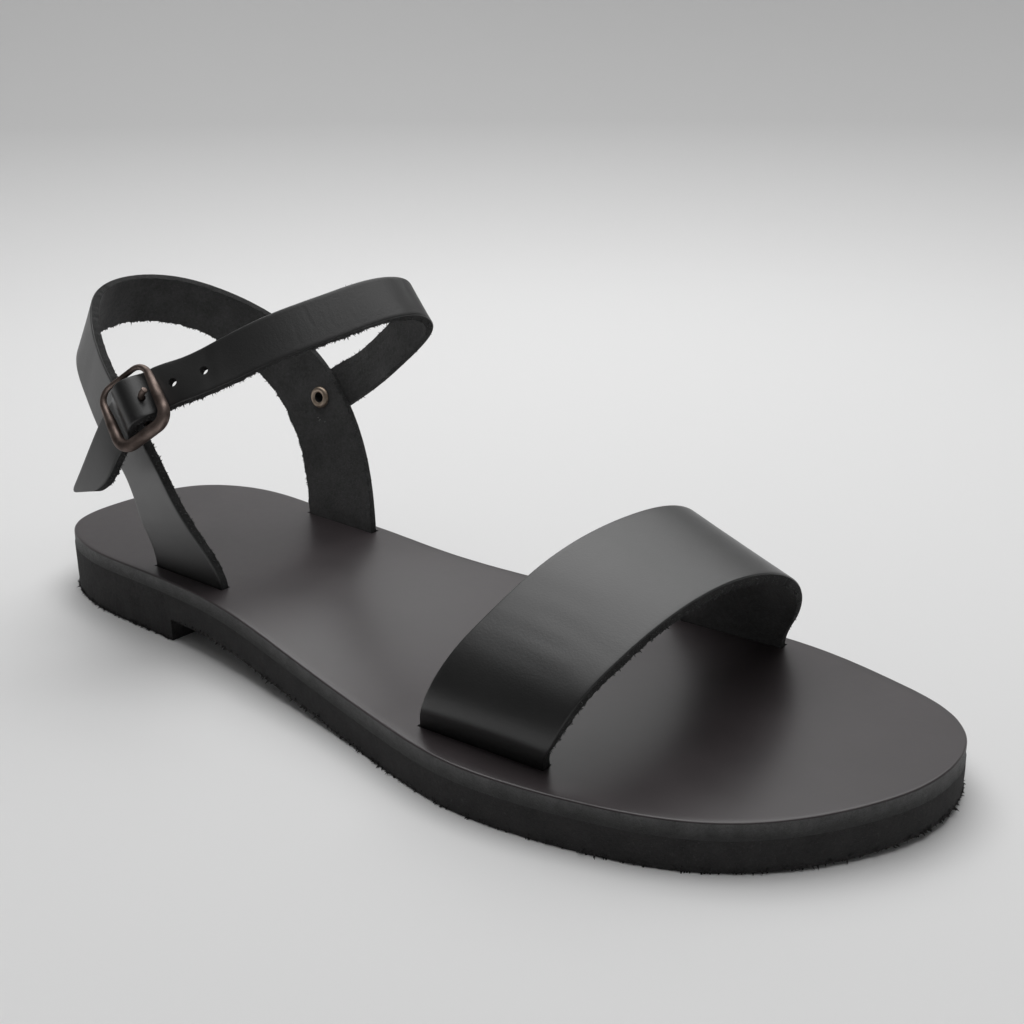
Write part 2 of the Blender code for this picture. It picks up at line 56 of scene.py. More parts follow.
# Sole layers
SEAM = 0.3
OUTSOLE_THICK = 6.9
INSOLE_THICK = 3.8
HEEL_RISE = 6.0
FORE_TOP = OUTSOLE_THICK + SEAM + INSOLE_THICK
HEEL_TOP = HEEL_RISE + FORE_TOP
TOE_SPRING = 1.5
TOE_SPRING_START = 225.0
WAIST_START = 75.0
WAIST_END = 150.0
HEEL_BREAST = 64.0
INSOLE_INSET = 0.2
INSOLE_ROUND = 0.5
INSOLE_SWELL = 0.10
RUBBER_ROUND = 0.3
LAYER_GAP = 0.02
FLOOR_CLEAR = 0.03
OUTLINE_POINTS = 2400
SOLE_STATIONS = 560
HEEL_STATIONS = 180
RUBBER_COLUMNS = 12
INSOLE_COLUMNS = 44
# Rubber walls: height, raggedness and its size
OUTSOLE_WALL = [(RUBBER_ROUND, 0.14, 1.2), (1.0, 0.14, 1.0), (2.2, 0.10, 1.2), (3.6, 0.10, 1.4),
                (5.2, 0.10, 1.4)]
HEEL_WALL = [(RUBBER_ROUND, 0.25, 0.9), (1.3, 0.14, 1.0), (2.8, 0.12, 1.2), (4.4, 0.12, 1.2)]

# Straps
FRONT_THICK = 2.4
BACK_THICK = 2.2
ANKLE_THICK = 2.2
ANKLE_WIDTH = 11.8
TAIL_LOWER_CORNER = 4.5
TAIL_UPPER_CORNER = 3.0
SLOT_CLEAR = 0.35
SLOT_DEPTH = INSOLE_THICK - 0.2
EDGE_ROUND = 0.38
FRONT_ROWS = 330
FRONT_COLUMNS = 34
BACK_ROWS = 520
BACK_COLUMNS = 22
ANKLE_ROWS = 560
ANKLE_COLUMNS = 18
TONGUE_ROWS = 60
TONGUE_COLUMNS = 6
LEG_ROWS = 600
LEG_COLUMNS = 41

# Buckle and rivet
FRAME_WIRE = 1.4
FRAME_ALONG = 15.0
FRAME_ACROSS = 16.8
FRAME_CORNER = 3.6
FRAME_SWELL = (0.50, 0.95, 1.12)
BAR_WIRE = 1.0
BAR_DROP = 3.4
BAR_SETBACK = 1.8
PRONG_WIRE = 0.9
PRONG_FILED = 0.78
PRONG_CLEAR = 0.2
PRONG_ROWS = 90
TONGUE_THICK = 1.8
TONGUE_WIDTH = 9.0
PRONG_GAP = 3.6
TONGUE_ON_LEG = (-13.0, -10.0, -7.5)
HOLE_RADIUS = 1.1
HOLE_SPACING = 8.6
RIVET_TUBE = 1.9
RIVET_BORE = 1.2
RIVET_FLANGE = 3.1
RIVET_LIP = 0.8
RIVET_STEPS = 56
NICK_LENGTH = 0.55
NICK_WIDTH = 0.45
# Along the leg and down from the rivet
NICK_FLECKS = [(-0.4, 6.0), (0.2, 6.4), (-0.1, 6.8), (2.0, 6.9)]

# Outline of the sole, once round from the back of the heel along the outer side to the toe
OUTLINE = [
    # x, y
    (0.0, 0.0), (5.0, -21.5), (20.0, -30.5), (50.0, -33.0), (80.0, -34.0), (115.0, -38.0),
    (145.0, -42.5), (175.0, -47.0), (190.0, -45.5), (205.0, -42.0), (220.0, -36.5), (234.0, -27.0),
    (247.0, -11.0), (253.5, 3.0), (255.0, 14.0), (252.0, 27.5), (243.5, 37.5), (229.0, 44.0),
    (200.0, 49.0), (170.0, 46.0), (140.0, 41.5), (104.0, 32.0), (85.0, 30.5), (50.0, 32.0),
    (20.0, 31.0), (5.0, 21.5),
]

# Outer face of the front strap from the outer slot to the inner slot: its front edge and its rear edge,
# with heights above the insole
FRONT_STRAP = [
    # front x, y, height, rear x, y, height
    (191.5, -37.0, 0.0, 160.0, -39.5, 0.0),
    (193.5, -38.5, 4.5, 162.0, -41.0, 5.5),
    (197.0, -36.5, 13.0, 165.0, -37.5, 15.0),
    (200.0, -28.5, 20.5, 168.5, -27.0, 24.0),
    (203.0, -16.0, 26.5, 171.5, -12.5, 31.5),
    (207.0, 6.0, 30.5, 176.0, 12.0, 36.5),
    (209.0, 26.5, 26.0, 178.5, 34.0, 33.0),
    (208.0, 36.5, 19.0, 177.0, 43.0, 24.5),
    (204.5, 42.5, 9.5, 173.0, 45.0, 11.5),
    (200.5, 45.0, 0.0, 169.0, 43.5, 0.0),
]

# Middle of the back strap from a slot to the back of the heel, for both legs; its heights and the ankle
# strap's are above the insole at the heel
BACK_STRAP = [
    # upper edge x, y, height, lower edge x, y, height
    (79.5, 26.5, 0.0, 52.5, 27.0, 0.0),
    (73.0, 31.0, 17.5, 50.0, 28.5, 12.5),
    (64.5, 33.0, 33.0, 46.0, 29.0, 23.5),
    (53.0, 32.5, 46.5, 38.0, 29.5, 33.5),
    (40.0, 29.0, 56.0, 28.0, 27.0, 42.5),
    (27.0, 22.0, 63.0, 17.5, 22.0, 50.0),
    (17.0, 12.5, 67.5, 10.5, 12.5, 54.5),
    (13.5, 0.0, 69.0, 7.5, 0.0, 56.0),
]

# The ankle strap's free end, cut on a slant, from its tip to the buckle
ANKLE_TAIL = [
    # upper edge x, y, height, lower edge x, y, height
    (36.0, -39.5, 20.0, 53.0, -41.5, 24.5),
    (44.0, -39.0, 31.0, 58.0, -41.0, 30.0),
]
# Middle of the ankle strap's loop; its upper edge lies back from and inward of its lower edge
ANKLE_LOOP = [
    # x, y, height, back, inward
    (72.5, -27.5, 53.5, 8.0, 3.0),
    (79.5, -21.5, 57.5, 7.5, 2.5),
    (87.5, -12.0, 63.0, 7.0, 1.5),
    (95.0, 1.5, 67.5, 7.0, 1.0),
    (99.0, 14.0, 70.0, 7.5, 1.0),
    (100.0, 23.5, 69.0, 8.0, 1.5),
    (97.0, 29.5, 65.0, 8.5, 1.0),
    (90.5, 33.0, 59.0, 9.5, 1.5),
    (81.5, 34.5, 52.0, 9.5, 2.0),
    (71.0, 35.5, 44.5, 9.0, 2.0),
]
# Where the ankle strap lies on the inner leg: forward of it, at the rivet and at its end
ANKLE_ON_LEG = [
    # x, height
    (60.0, 38.0),
    (55.0, 34.5),
    (47.0, 29.0),
]
ANKLE_LEG_GAP = 0.45
ANKLE_LEG_BACK = 7.0
# How the ankle strap threads the buckle, seen along the bars
ANKLE_IN_BUCKLE = [
    # along, down, out
    (-7.5, 0.2, -3.1),
    (-5.1, -0.1, -2.1),
    (-2.5, -0.4, 0.5),
    (0.0, -0.6, 1.65),
    (2.5, -0.7, 0.5),
    (5.1, -0.9, -2.1),
    (7.5, -1.0, -3.1),
]
# The prong in the buckle's middle plane, after its ring round the centre bar
PRONG_REACH = [
    # along, out
    (2.4, -0.7),
    (3.7, 1.0),
    (5.0, 2.3),
    (6.5, 2.9),
]
BUCKLE_CENTRE = np.array([64.0, -37.5, HEEL_TOP + 47.5])
BUCKLE_FORWARD = np.array([0.68, 0.44, 0.58])
BUCKLE_DOWN = np.array([0.70, -0.15, -0.70])

# Soft creases across the straps, each with a low ridge on both sides
CREASE_FADE = 0.15
RIDGE_SHARE = 0.45
RIDGE_PLACE = 1.7
CREASES = {
    # share along, slant in mm over the width, share across from, to, depth in mm, width in mm
    "front": [
        (0.205, 3.0, 0.15, 0.95, 0.04, 2.6),
        (0.245, -2.0, 0.30, 1.00, 0.03, 1.8),
        (0.285, 2.5, 0.00, 0.70, 0.03, 2.0),
        (0.330, -3.0, 0.45, 1.00, 0.03, 2.4),
        (0.720, 2.0, 0.10, 0.80, 0.03, 2.6),
        (0.790, -2.0, 0.00, 1.00, 0.04, 3.0),
    ],
    "back": [
        (0.120, 3.0, 0.10, 1.00, 0.05, 3.0),
        (0.310, -2.0, 0.00, 0.80, 0.04, 2.4),
        (0.500, 0.0, 0.00, 1.00, 0.04, 3.0),
        (0.690, 2.0, 0.20, 1.00, 0.04, 2.4),
        (0.880, -3.0, 0.00, 0.90, 0.05, 3.0),
    ],
    "ankle": [
        (0.305, 1.0, 0.00, 1.00, 0.04, 1.4),
        (0.430, 1.6, 0.10, 0.60, 0.015, 0.6),
        (0.452, -1.2, 0.40, 0.95, 0.02, 0.5),
        (0.478, 1.0, 0.25, 0.80, 0.015, 0.5),
        (0.506, -1.4, 0.10, 0.50, 0.015, 0.6),
        (0.640, 1.0, 0.00, 1.00, 0.05, 1.6),
        (0.700, -1.0, 0.10, 1.00, 0.04, 1.4),
    ],
}

# Where the straps' edges fray
FIBRE_RUNS = {
    # edge, fibres per mm, share along from, to
    "front": [(-1, 4.5, 0.07, 0.93), (1, 1.5, 0.07, 0.93)],
    "back": [(-1, 4.5, 0.04, 0.28), (-1, 4.5, 0.72, 0.96), (1, 5.0, 0.04, 0.96)],
    "ankle": [(-1, 5.0, 0.02, 0.95), (1, 2.0, 0.02, 0.95)],
}
# How far each strap's two edges fray, in mm, and over what lengths
FRAY = {"front": (0.24, 0.12), "back": (0.28, 0.28), "ankle": (0.20, 0.12), "tongue": (0.05, 0.05)}
RIM_FRAY = 0.1
FINE_FRAY = 0.9
COARSE_FRAY = 4.0
HAND_CUT = 0.10
HAND_CUT_LENGTH = 14.0
NAP_DEPTH = 0.06
NAP_LENGTH = 3.0
# Loose bits in mm: middle and spread of the size's logarithm, least, most
FIBRE_LENGTH = (-1.15, 0.45, 0.12, 0.8)
FIBRE_WIDTH = (-1.2, 0.4, 0.15, 0.50)
CRUMB_LENGTH = (-1.05, 0.5, 0.10, 0.9)
CRUMB_WIDTH = (0.30, 0.80)
TUFT_DROOP = 0.35
# Share along a tuft and its taper there
TUFT_RINGS = ((-0.35, 1.0), (0.5, 0.6))

# Leather
GRAIN_CELL = 0.45
GRAIN_DEPTH = 0.09
# Faces of a strap, in the order of its materials
GRAIN_FACE, FLESH_FACE, CUT_FACE = range(3)

# Studio, in metres
FLOOR_RADIUS = 0.62
SWEEP_RADIUS = 0.40
WALL_TOP = 1.3
FLOOR_TONE = 0.82
# The sweep's paper is painted darker up the wall: painted shade where less light reaches.
WALL_PAINTED_SHADE = [
    # from height, to height, tone reached
    (0.0, 0.09, 0.58),
    (0.09, 0.35, 0.47),
    (0.26, 0.50, 0.26),
]
CARD_PLACE = (0.05, -0.62, 0.46)
CARD_SIZE = (1.7, 0.76, 1.0)
LIGHTS = [
    # name, place, aim, width and height, radiance
    ("softbox", (-0.12, 0.12, 0.78), (-0.12, 0.12, 0.0), (1.0, 0.7), 2.0),
    ("back_panel", (-0.35, 0.65, 0.75), (0.0, 0.0, 0.0), (1.0, 0.5), 1.85),
]
ROOM_LIGHT = 0.32


def unit(vector):
    return vector / np.linalg.norm(vector)


def unit_rows(vectors):
    return vectors / np.linalg.norm(vectors, axis=-1, keepdims=True)


def spline(rows, count, closed=False):
    """Points read at even steps along a cubic spline through the rows, in any number of columns."""
    knots = np.array(rows, dtype=float)
    if closed:
        knots = np.vstack([knots, knots[:1]])
    span = np.linalg.norm(np.diff(knots, axis=0), axis=1)
    slope = np.diff(knots, axis=0) / span[:, None]
    last = len(knots) - 1
    matrix = np.zeros((last + 1, last + 1))
    right = np.zeros_like(knots)
    for i in range(1, last):
        matrix[i, i - 1:i + 2] = span[i - 1], 2 * (span[i - 1] + span[i]), span[i]
        right[i] = 6 * (slope[i] - slope[i - 1])
    matrix[0, 0] = 1
    if closed:
        matrix[0, last] = -1
        matrix[last, :2] += 2 * span[0], span[0]
        matrix[last, last - 1:] += span[-1], 2 * span[-1]
        right[last] = 6 * (slope[0] - slope[-1])
    else:
        matrix[last, last] = 1
    bend = np.linalg.solve(matrix, right)
    at = np.concatenate([[0.0], np.cumsum(span)])
    read = np.linspace(0.0, at[-1], count, endpoint=not closed)
    i = np.clip(np.searchsorted(at, read, side="right") - 1, 0, last - 1)
    after = (read - at[i])[:, None]
    before = (at[i + 1] - read)[:, None]
    width = span[i][:, None]
    curve = (bend[i] * before ** 3 + bend[i + 1] * after ** 3) / (6 * width)
    curve += (knots[i] / width - bend[i] * width / 6) * before
    curve += (knots[i + 1] / width - bend[i + 1] * width / 6) * after
    return curve


OUTLINE_CURVE = spline(OUTLINE, OUTLINE_POINTS, closed=True)
ORIGIN = np.array([*(OUTLINE_CURVE.min(axis=0) + OUTLINE_CURVE.max(axis=0)) / 2, 0.0])
TOE_TIP = OUTLINE_CURVE[OUTLINE_CURVE[:, 0].argmax()]


def to_metres(points):
    return (np.asarray(points) - ORIGIN) * MM


def ease(value):
    value = np.clip(value, 0.0, 1.0)
    return value * value * (3 - 2 * value)


def outsole_floor(x):
    """Underside of the outsole: raised by the heel, level at the ball, springing up at the toe."""
    heel = HEEL_RISE * (1 - ease((x - WAIST_START) / (WAIST_END - WAIST_START)))
    toe = TOE_SPRING * np.maximum(0.0, (x - TOE_SPRING_START) / (TOE_TIP[0] - TOE_SPRING_START)) ** 2
    return heel + toe


def insole_floor(x):
    return outsole_floor(x) + OUTSOLE_THICK + SEAM


def raised(rows, columns, height):
    """Turns heights above the insole into heights above the floor."""
    table = np.array(rows)
    table[:, columns] += height
    return table


def insole_top(x):
    return insole_floor(x) + INSOLE_THICK


def walked(points):
    """Distance along a row of points, from its first."""
    return np.concatenate([[0.0], np.cumsum(np.linalg.norm(np.diff(points, axis=0), axis=1))])


def wander(count, step, seed, reach):
    """Smooth random values from -1 to 1, one for each of count steps; reach is their wavelength."""
    draw = np.random.default_rng(seed)
    knots = max(4, int(count * step / reach) + 3)
    return np.interp(np.linspace(0, knots - 1, count), np.arange(knots), draw.uniform(-1, 1, knots))


# Modelling helpers

def deselect():
    bpy.ops.object.select_all(action="DESELECT")


def activate(piece):
    deselect()
    piece.select_set(True)
    bpy.context.view_layer.objects.active = piece


def edit(piece):
    activate(piece)
    bpy.ops.object.mode_set(mode="EDIT")
    bpy.ops.mesh.select_all(action="SELECT")


def leave_edit():
    bpy.ops.object.mode_set(mode="OBJECT")


def read_points(mesh):
    points = np.empty(len(mesh.vertices) * 3, np.float32)
    mesh.vertices.foreach_get("co", points)
    return points.reshape(-1, 3)


def write_points(mesh, points):
    mesh.vertices.foreach_set("co", np.asarray(points, np.float32).ravel())
    mesh.update()


def apply_step(piece, step):
    activate(piece)
    bpy.ops.object.modifier_apply(modifier=step.name)


def combine(piece, tool, operation):
    """Cuts the tool from the piece, or joins it to it, and clears the tool away."""
    step = piece.modifiers.new(operation, "BOOLEAN")
    step.operation = operation
    step.solver = "EXACT"
    step.object = tool
    apply_step(piece, step)
    bpy.data.objects.remove(tool)


def join(piece, others):
    activate(piece)
    for other in others:
        other.select_set(True)
    bpy.ops.object.join()


def smooth(piece, degrees=40):
    activate(piece)
    bpy.ops.object.shade_smooth_by_angle(angle=math.radians(degrees))


def settle(piece, node):
    """Hands the finished piece to the frame in place of its CAD node."""
    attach(piece, "root")
    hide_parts(node)


def loft(name, rings, zones=None, materials=(), lay=None, closed=False):
    """A skin through rings of points, from a grid whose sides are merged and whose ends are filled.

    zones gives each column's material and lay its distance along the rows and round the rings."""
    rows, columns = rings.shape[:2]
    spans = rows if closed else rows - 1
    deselect()
    bpy.ops.mesh.primitive_grid_add(x_subdivisions=spans, y_subdivisions=columns, size=2)
    piece = bpy.context.object
    piece.name = name
    mesh = piece.data
    flat = read_points(mesh)
    row = np.rint((flat[:, 0] + 1) / 2 * spans).astype(int)
    column = np.rint((flat[:, 1] + 1) / 2 * columns).astype(int)
    write_points(mesh, to_metres(rings)[row % rows, column % columns])
    corners = np.empty(len(mesh.loops), np.int32)
    mesh.loops.foreach_get("vertex_index", corners)
    for material in materials:
        mesh.materials.append(material)
    if zones is not None:
        first = column[corners].reshape(-1, 4).min(axis=1)
        mesh.polygons.foreach_set("material_index", np.asarray(zones, np.int32)[first])
    if lay is not None:
        along, around = lay
        layer = mesh.uv_layers[0]
        layer.name = "lay"
        places = np.stack([along[row[corners]], around[column[corners]]], axis=1) * MM
        layer.uv.foreach_set("vector", places.astype(np.float32).ravel())
    edit(piece)
    bpy.ops.mesh.remove_doubles(threshold=1e-7)
    bpy.ops.mesh.select_all(action="SELECT")
    if not closed:
        bpy.ops.mesh.fill_holes(sides=0)
    bpy.ops.mesh.select_all(action="SELECT")
    bpy.ops.mesh.normals_make_consistent(inside=False)
    leave_edit()
    return piece


def drawn_sizes(draw, sizes, count):
    """Random sizes, many small and few large."""
    middle, scale, least, most = sizes
    return np.clip(draw.lognormal(middle, scale, count), least, most)


def scatter(name, base, spokes, lengths, widths, seed, material):
    """Tapered bent tufts, one for each base point, along its spoke, joined in one mesh."""
    draw = np.random.default_rng(seed)
    points = []
    faces = []
    for place, spoke, length, width in zip(base, spokes, lengths, widths):
        side = unit(np.cross(spoke, draw.normal(size=3)))
        over = unit(np.cross(spoke, side))
        droop = draw.normal(size=3) * TUFT_DROOP * length
        first = len(points)
        for share, taper in TUFT_RINGS:
            middle = place + spoke * length * share + droop * max(0.0, share) ** 2
            for k in range(3):
                angle = 2 * math.pi * k / 3
                points.append(middle + width * taper / 2 * (math.cos(angle) * side + math.sin(angle) * over))
        points.append(place + spoke * length + droop)
        faces.append((first + 2, first + 1, first))
        for k in range(3):
            nxt = (k + 1) % 3
            faces.append((first + k, first + nxt, first + 3 + nxt, first + 3 + k))
            faces.append((first + 3 + k, first + 3 + nxt, first + 6))
    mesh = bpy.data.meshes.new(name)
    points = np.array(points)
    points[:, 2] = np.maximum(points[:, 2], FLOOR_CLEAR)
    mesh.from_pydata(to_metres(points).tolist(), [], faces)
    mesh.materials.append(material)
    tufts = bpy.data.objects.new(name, mesh)
    bpy.context.scene.collection.objects.link(tufts)
    edit(tufts)
    bpy.ops.mesh.normals_make_consistent(inside=False)
    leave_edit()
    return tufts


# Material helpers

def feed(tree, socket, value):
    """Gives a socket its value, or links it where the value is another socket."""
    if isinstance(value, bpy.types.NodeSocket):
        tree.links.new(value, socket)
    else:
        socket.default_value = value


def node(tree, kind, settings=None, **inputs):
    """A shader node with its settings; an input is a value, or a socket to link."""
    made = tree.nodes.new("ShaderNode" + kind)
    for key, value in (settings or {}).items():
        setattr(made, key, value)
    for key, value in inputs.items():
        feed(tree, made.inputs[key.replace("_", " ")], value)
    return made


def maths(tree, operation, first, second=0.0):
    made = tree.nodes.new("ShaderNodeMath")
    made.operation = operation
    for socket, value in zip(made.inputs, (first, second)):
        feed(tree, socket, value)
    return made.outputs[0]


def blend_colour(tree, share, first, second):
    made = tree.nodes.new("ShaderNodeMix")
    made.data_type = "RGBA"
    for socket, value in zip((made.inputs[0], made.inputs[6], made.inputs[7]), (share, first, second)):
        feed(tree, socket, value)
    return made.outputs[2]


def spread(tree, value, low, high, to_low=0.0, to_high=1.0):
    made = node(tree, "MapRange", Value=value, From_Min=low, From_Max=high, To_Min=to_low, To_Max=to_high)
    return made.outputs[0]


def grey(level, rosy=0.0):
    return (level * (1 + rosy), level, level * (1 + 0.3 * rosy), 1.0)


def new_group(name, inputs, outputs):
    tree = bpy.data.node_groups.new(name, "ShaderNodeTree")
    for title, kind, value in inputs:
        socket = tree.interface.new_socket(name=title, in_out="INPUT", socket_type="NodeSocket" + kind)
        if value is not None:
            socket.default_value = value
    for title in outputs:
        tree.interface.new_socket(name=title, in_out="OUTPUT", socket_type="NodeSocketFloat")
    source = tree.nodes.new("NodeGroupInput")
    sink = tree.nodes.new("NodeGroupOutput")
    return tree, source.outputs, sink.inputs


def make_grain_group():
    """Tight pores of finished leather, with broad soft changes of tone."""
    tree, given, put = new_group("leather_grain", [("Vector", "Vector", None), ("Cell", "Float", 0.5)],
                                 ["Height", "Tone", "Gloss"])
    scale = maths(tree, "DIVIDE", 1.0 / MM, given["Cell"])
    pores = node(tree, "TexVoronoi", {"feature": "SMOOTH_F1"}, Vector=given["Vector"], Scale=scale,
                 Smoothness=0.6)
    fine = node(tree, "TexNoise", Vector=given["Vector"], Scale=maths(tree, "MULTIPLY", scale, 2.3),
                Detail=3.0, Roughness=0.6)
    broad = node(tree, "TexNoise", Vector=given["Vector"], Scale=55.0, Detail=3.0, Roughness=0.55)
    middle = node(tree, "TexNoise", Vector=given["Vector"], Scale=420.0, Detail=2.0)
    height = maths(tree, "ADD", maths(tree, "MULTIPLY", pores.outputs["Distance"], 0.6),
                   maths(tree, "MULTIPLY", fine.outputs["Fac"], 0.4))
    tree.links.new(height, put["Height"])
    tree.links.new(spread(tree, broad.outputs["Fac"], 0.3, 0.7), put["Tone"])
    tree.links.new(spread(tree, middle.outputs["Fac"], 0.3, 0.7), put["Gloss"])
    return tree


def make_fibre_group():
    """Matted fibres of raw leather: nap on the flesh side, ends of fibres on a cut edge."""
    tree, given, put = new_group("leather_fibre", [("Vector", "Vector", None), ("Size", "Float", 0.5)],
                                 ["Height", "Tone", "Loose"])
    scale = maths(tree, "DIVIDE", 1.0 / MM, given["Size"])
    nap = node(tree, "TexNoise", Vector=given["Vector"], Scale=scale, Detail=5.0, Roughness=0.72,
               Distortion=0.8)
    broad = node(tree, "TexNoise", Vector=given["Vector"], Scale=maths(tree, "MULTIPLY", scale, 0.12),
                 Detail=3.0)
    loose = node(tree, "TexNoise", Vector=given["Vector"], Scale=maths(tree, "MULTIPLY", scale, 1.7),
                 Detail=2.0)
    tree.links.new(nap.outputs["Fac"], put["Height"])
    tone = maths(tree, "ADD", maths(tree, "MULTIPLY", nap.outputs["Fac"], 0.6),
                 maths(tree, "MULTIPLY", broad.outputs["Fac"], 0.4))
    tree.links.new(spread(tree, tone, 0.3, 0.7), put["Tone"])
    tree.links.new(spread(tree, loose.outputs["Fac"], 0.62, 0.72), put["Loose"])
    return tree


def make_dust_group():
    """Sparse pale specks of dust."""
    tree, given, put = new_group("dust_specks", [("Vector", "Vector", None), ("Spacing", "Float", 12.0)],
                                 ["Mask"])
    scale = maths(tree, "DIVIDE", 1.0 / MM, given["Spacing"])
    cells = node(tree, "TexVoronoi", Vector=given["Vector"], Scale=scale)
    near = spread(tree, cells.outputs["Distance"], 0.016, 0.008)
    pick = node(tree, "SeparateColor", Color=cells.outputs["Color"])
    chosen = maths(tree, "GREATER_THAN", pick.outputs[0], 0.6)
    tree.links.new(maths(tree, "MULTIPLY", near, chosen), put["Mask"])
    return tree


GRAIN = make_grain_group()
FIBRE = make_fibre_group()
DUST = make_dust_group()


def use_group(tree, group, **inputs):
    made = tree.nodes.new("ShaderNodeGroup")
    made.node_tree = group
    for key, value in inputs.items():
        feed(tree, made.inputs[key], value)
    return made.outputs


def new_material(name):
    material = bpy.data.materials.new(name)
    material.use_nodes = True
    tree = material.node_tree
    shader = tree.nodes["Principled BSDF"]
    place = node(tree, "TexCoord").outputs["Object"]
    return material, tree, shader, place


def set_surface(shader, **values):
    for key, value in values.items():
        shader.inputs[key.replace("_", " ")].default_value = value


def raise_bump(tree, shader, height, strength, depth):
    bump = node(tree, "Bump", Height=height, Strength=strength, Distance=depth * MM)
    tree.links.new(bump.outputs[0], shader.inputs["Normal"])


def make_grain_side(name, tone, rosy, roughness, coat, coat_roughness, relief, dust_spacing, creases):
    """Finished side of black leather: satin, finely pored, with faint cross lines where it bends."""
    material, tree, shader, place = new_material(name)
    grain = use_group(tree, GRAIN, Vector=place, Cell=GRAIN_CELL)
    dust = use_group(tree, DUST, Vector=place, Spacing=dust_spacing)
    colour = blend_colour(tree, grain["Tone"], grey(tone * 0.88, rosy), grey(tone * 1.14, rosy))
    tree.links.new(blend_colour(tree, dust["Mask"], colour, grey(0.30)), shader.inputs["Base Color"])
    gloss = maths(tree, "ADD", maths(tree, "MULTIPLY", grain["Tone"], 0.04),
                  maths(tree, "MULTIPLY", grain["Gloss"], 0.02))
    tree.links.new(maths(tree, "ADD", gloss, roughness - 0.03), shader.inputs["Roughness"])
    height = grain["Height"]
    if creases:
        lay = node(tree, "UVMap", {"uv_map": "lay"}).outputs["UV"]
        stretched = node(tree, "Mapping", Vector=lay, Scale=(1000.0, 420.0, 1.0)).outputs[0]
        lines = node(tree, "TexNoise", Vector=stretched, Scale=1.0, Detail=3.0, Roughness=0.6)
        patches = node(tree, "TexNoise", Vector=place, Scale=48.0, Detail=1.0)
        shown = spread(tree, patches.outputs["Fac"], 0.38, 0.62)
        height = maths(tree, "ADD", height, maths(tree, "MULTIPLY", lines.outputs["Fac"],
                                                  maths(tree, "MULTIPLY", shown, 1.5)))
    raise_bump(tree, shader, height, relief, GRAIN_DEPTH)
    set_surface(shader, IOR=1.5, Coat_Weight=coat, Coat_Roughness=coat_roughness, Coat_IOR=1.5)
    return material


def make_flesh_side(name, tone):
    """Raw inner side of the leather: matte, napped, with paler loose fibres."""
    material, tree, shader, place = new_material(name)
    fibre = use_group(tree, FIBRE, Vector=place, Size=0.9)
    colour = blend_colour(tree, fibre["Tone"], grey(tone * 0.55), grey(tone * 1.5))
    colour = blend_colour(tree, maths(tree, "MULTIPLY", fibre["Loose"], 0.25), colour, grey(tone * 2.6))
    tree.links.new(colour, shader.inputs["Base Color"])
    set_surface(shader, Roughness=0.92, Specular_IOR_Level=0.3, Sheen_Weight=0.12, Sheen_Roughness=0.5)
    raise_bump(tree, shader, fibre["Height"], strength=0.7, depth=0.35)
    return material


def make_cut_edge(name, tone, pale, roughness):
    """Cut edge of the leather: dark dyed fibres with paler frayed ends."""
    material, tree, shader, place = new_material(name)
    fibre = use_group(tree, FIBRE, Vector=place, Size=0.55)
    colour = blend_colour(tree, fibre["Tone"], grey(tone * 0.35), grey(tone * 1.9))
    colour = blend_colour(tree, maths(tree, "MULTIPLY", fibre["Loose"], 0.5), colour, grey(pale, 0.02))
    tree.links.new(colour, shader.inputs["Base Color"])
    set_surface(shader, Roughness=roughness)
    raise_bump(tree, shader, fibre["Height"], strength=0.8, depth=0.4)
    return material


def make_edge_with_painted_rim_highlight(name, dark, pale, roughness):
    """The insole's side: dark and fibrous by the rubber, with a random mottle, and a painted highlight making
    it paler toward its rim.
    """
    material, tree, shader, place = new_material(name)
    fibre = use_group(tree, FIBRE, Vector=place, Size=0.55)
    rise = node(tree, "Attribute", {"attribute_name": "rise"}).outputs["Fac"]
    mottle = node(tree, "TexNoise", Vector=place, Scale=420.0, Detail=4.0, Roughness=0.65)
    # Height up the side sets how pale it is: a painted highlight along the rim; the noise adds the leather's
    # own random mottle.
    level = maths(tree, "ADD", rise, maths(tree, "MULTIPLY", mottle.outputs["Fac"], 3.0))
    low = blend_colour(tree, fibre["Tone"], grey(dark * 0.6), grey(dark * 1.5))
    high = blend_colour(tree, fibre["Tone"], grey(pale * 0.5), grey(pale * 1.7))
    tree.links.new(blend_colour(tree, spread(tree, level, 2.2, 5.2), low, high), shader.inputs["Base Color"])
    set_surface(shader, Roughness=roughness)
    raise_bump(tree, shader, fibre["Height"], strength=0.8, depth=0.4)
    return material


def make_rubber(name, tone):
    """Cut crepe rubber: matte black with a fine torn grain and a few paler crumbs."""
    material, tree, shader, place = new_material(name)
    fibre = use_group(tree, FIBRE, Vector=place, Size=0.7)
    colour = blend_colour(tree, fibre["Tone"], grey(tone * 0.6), grey(tone * 1.5, 0.05))
    colour = blend_colour(tree, maths(tree, "MULTIPLY", fibre["Loose"], 0.25), colour, grey(tone * 4.0, 0.1))
    tree.links.new(colour, shader.inputs["Base Color"])
    set_surface(shader, Roughness=0.85, Specular_IOR_Level=0.35)
    raise_bump(tree, shader, fibre["Height"], strength=0.8, depth=0.4)
    return material


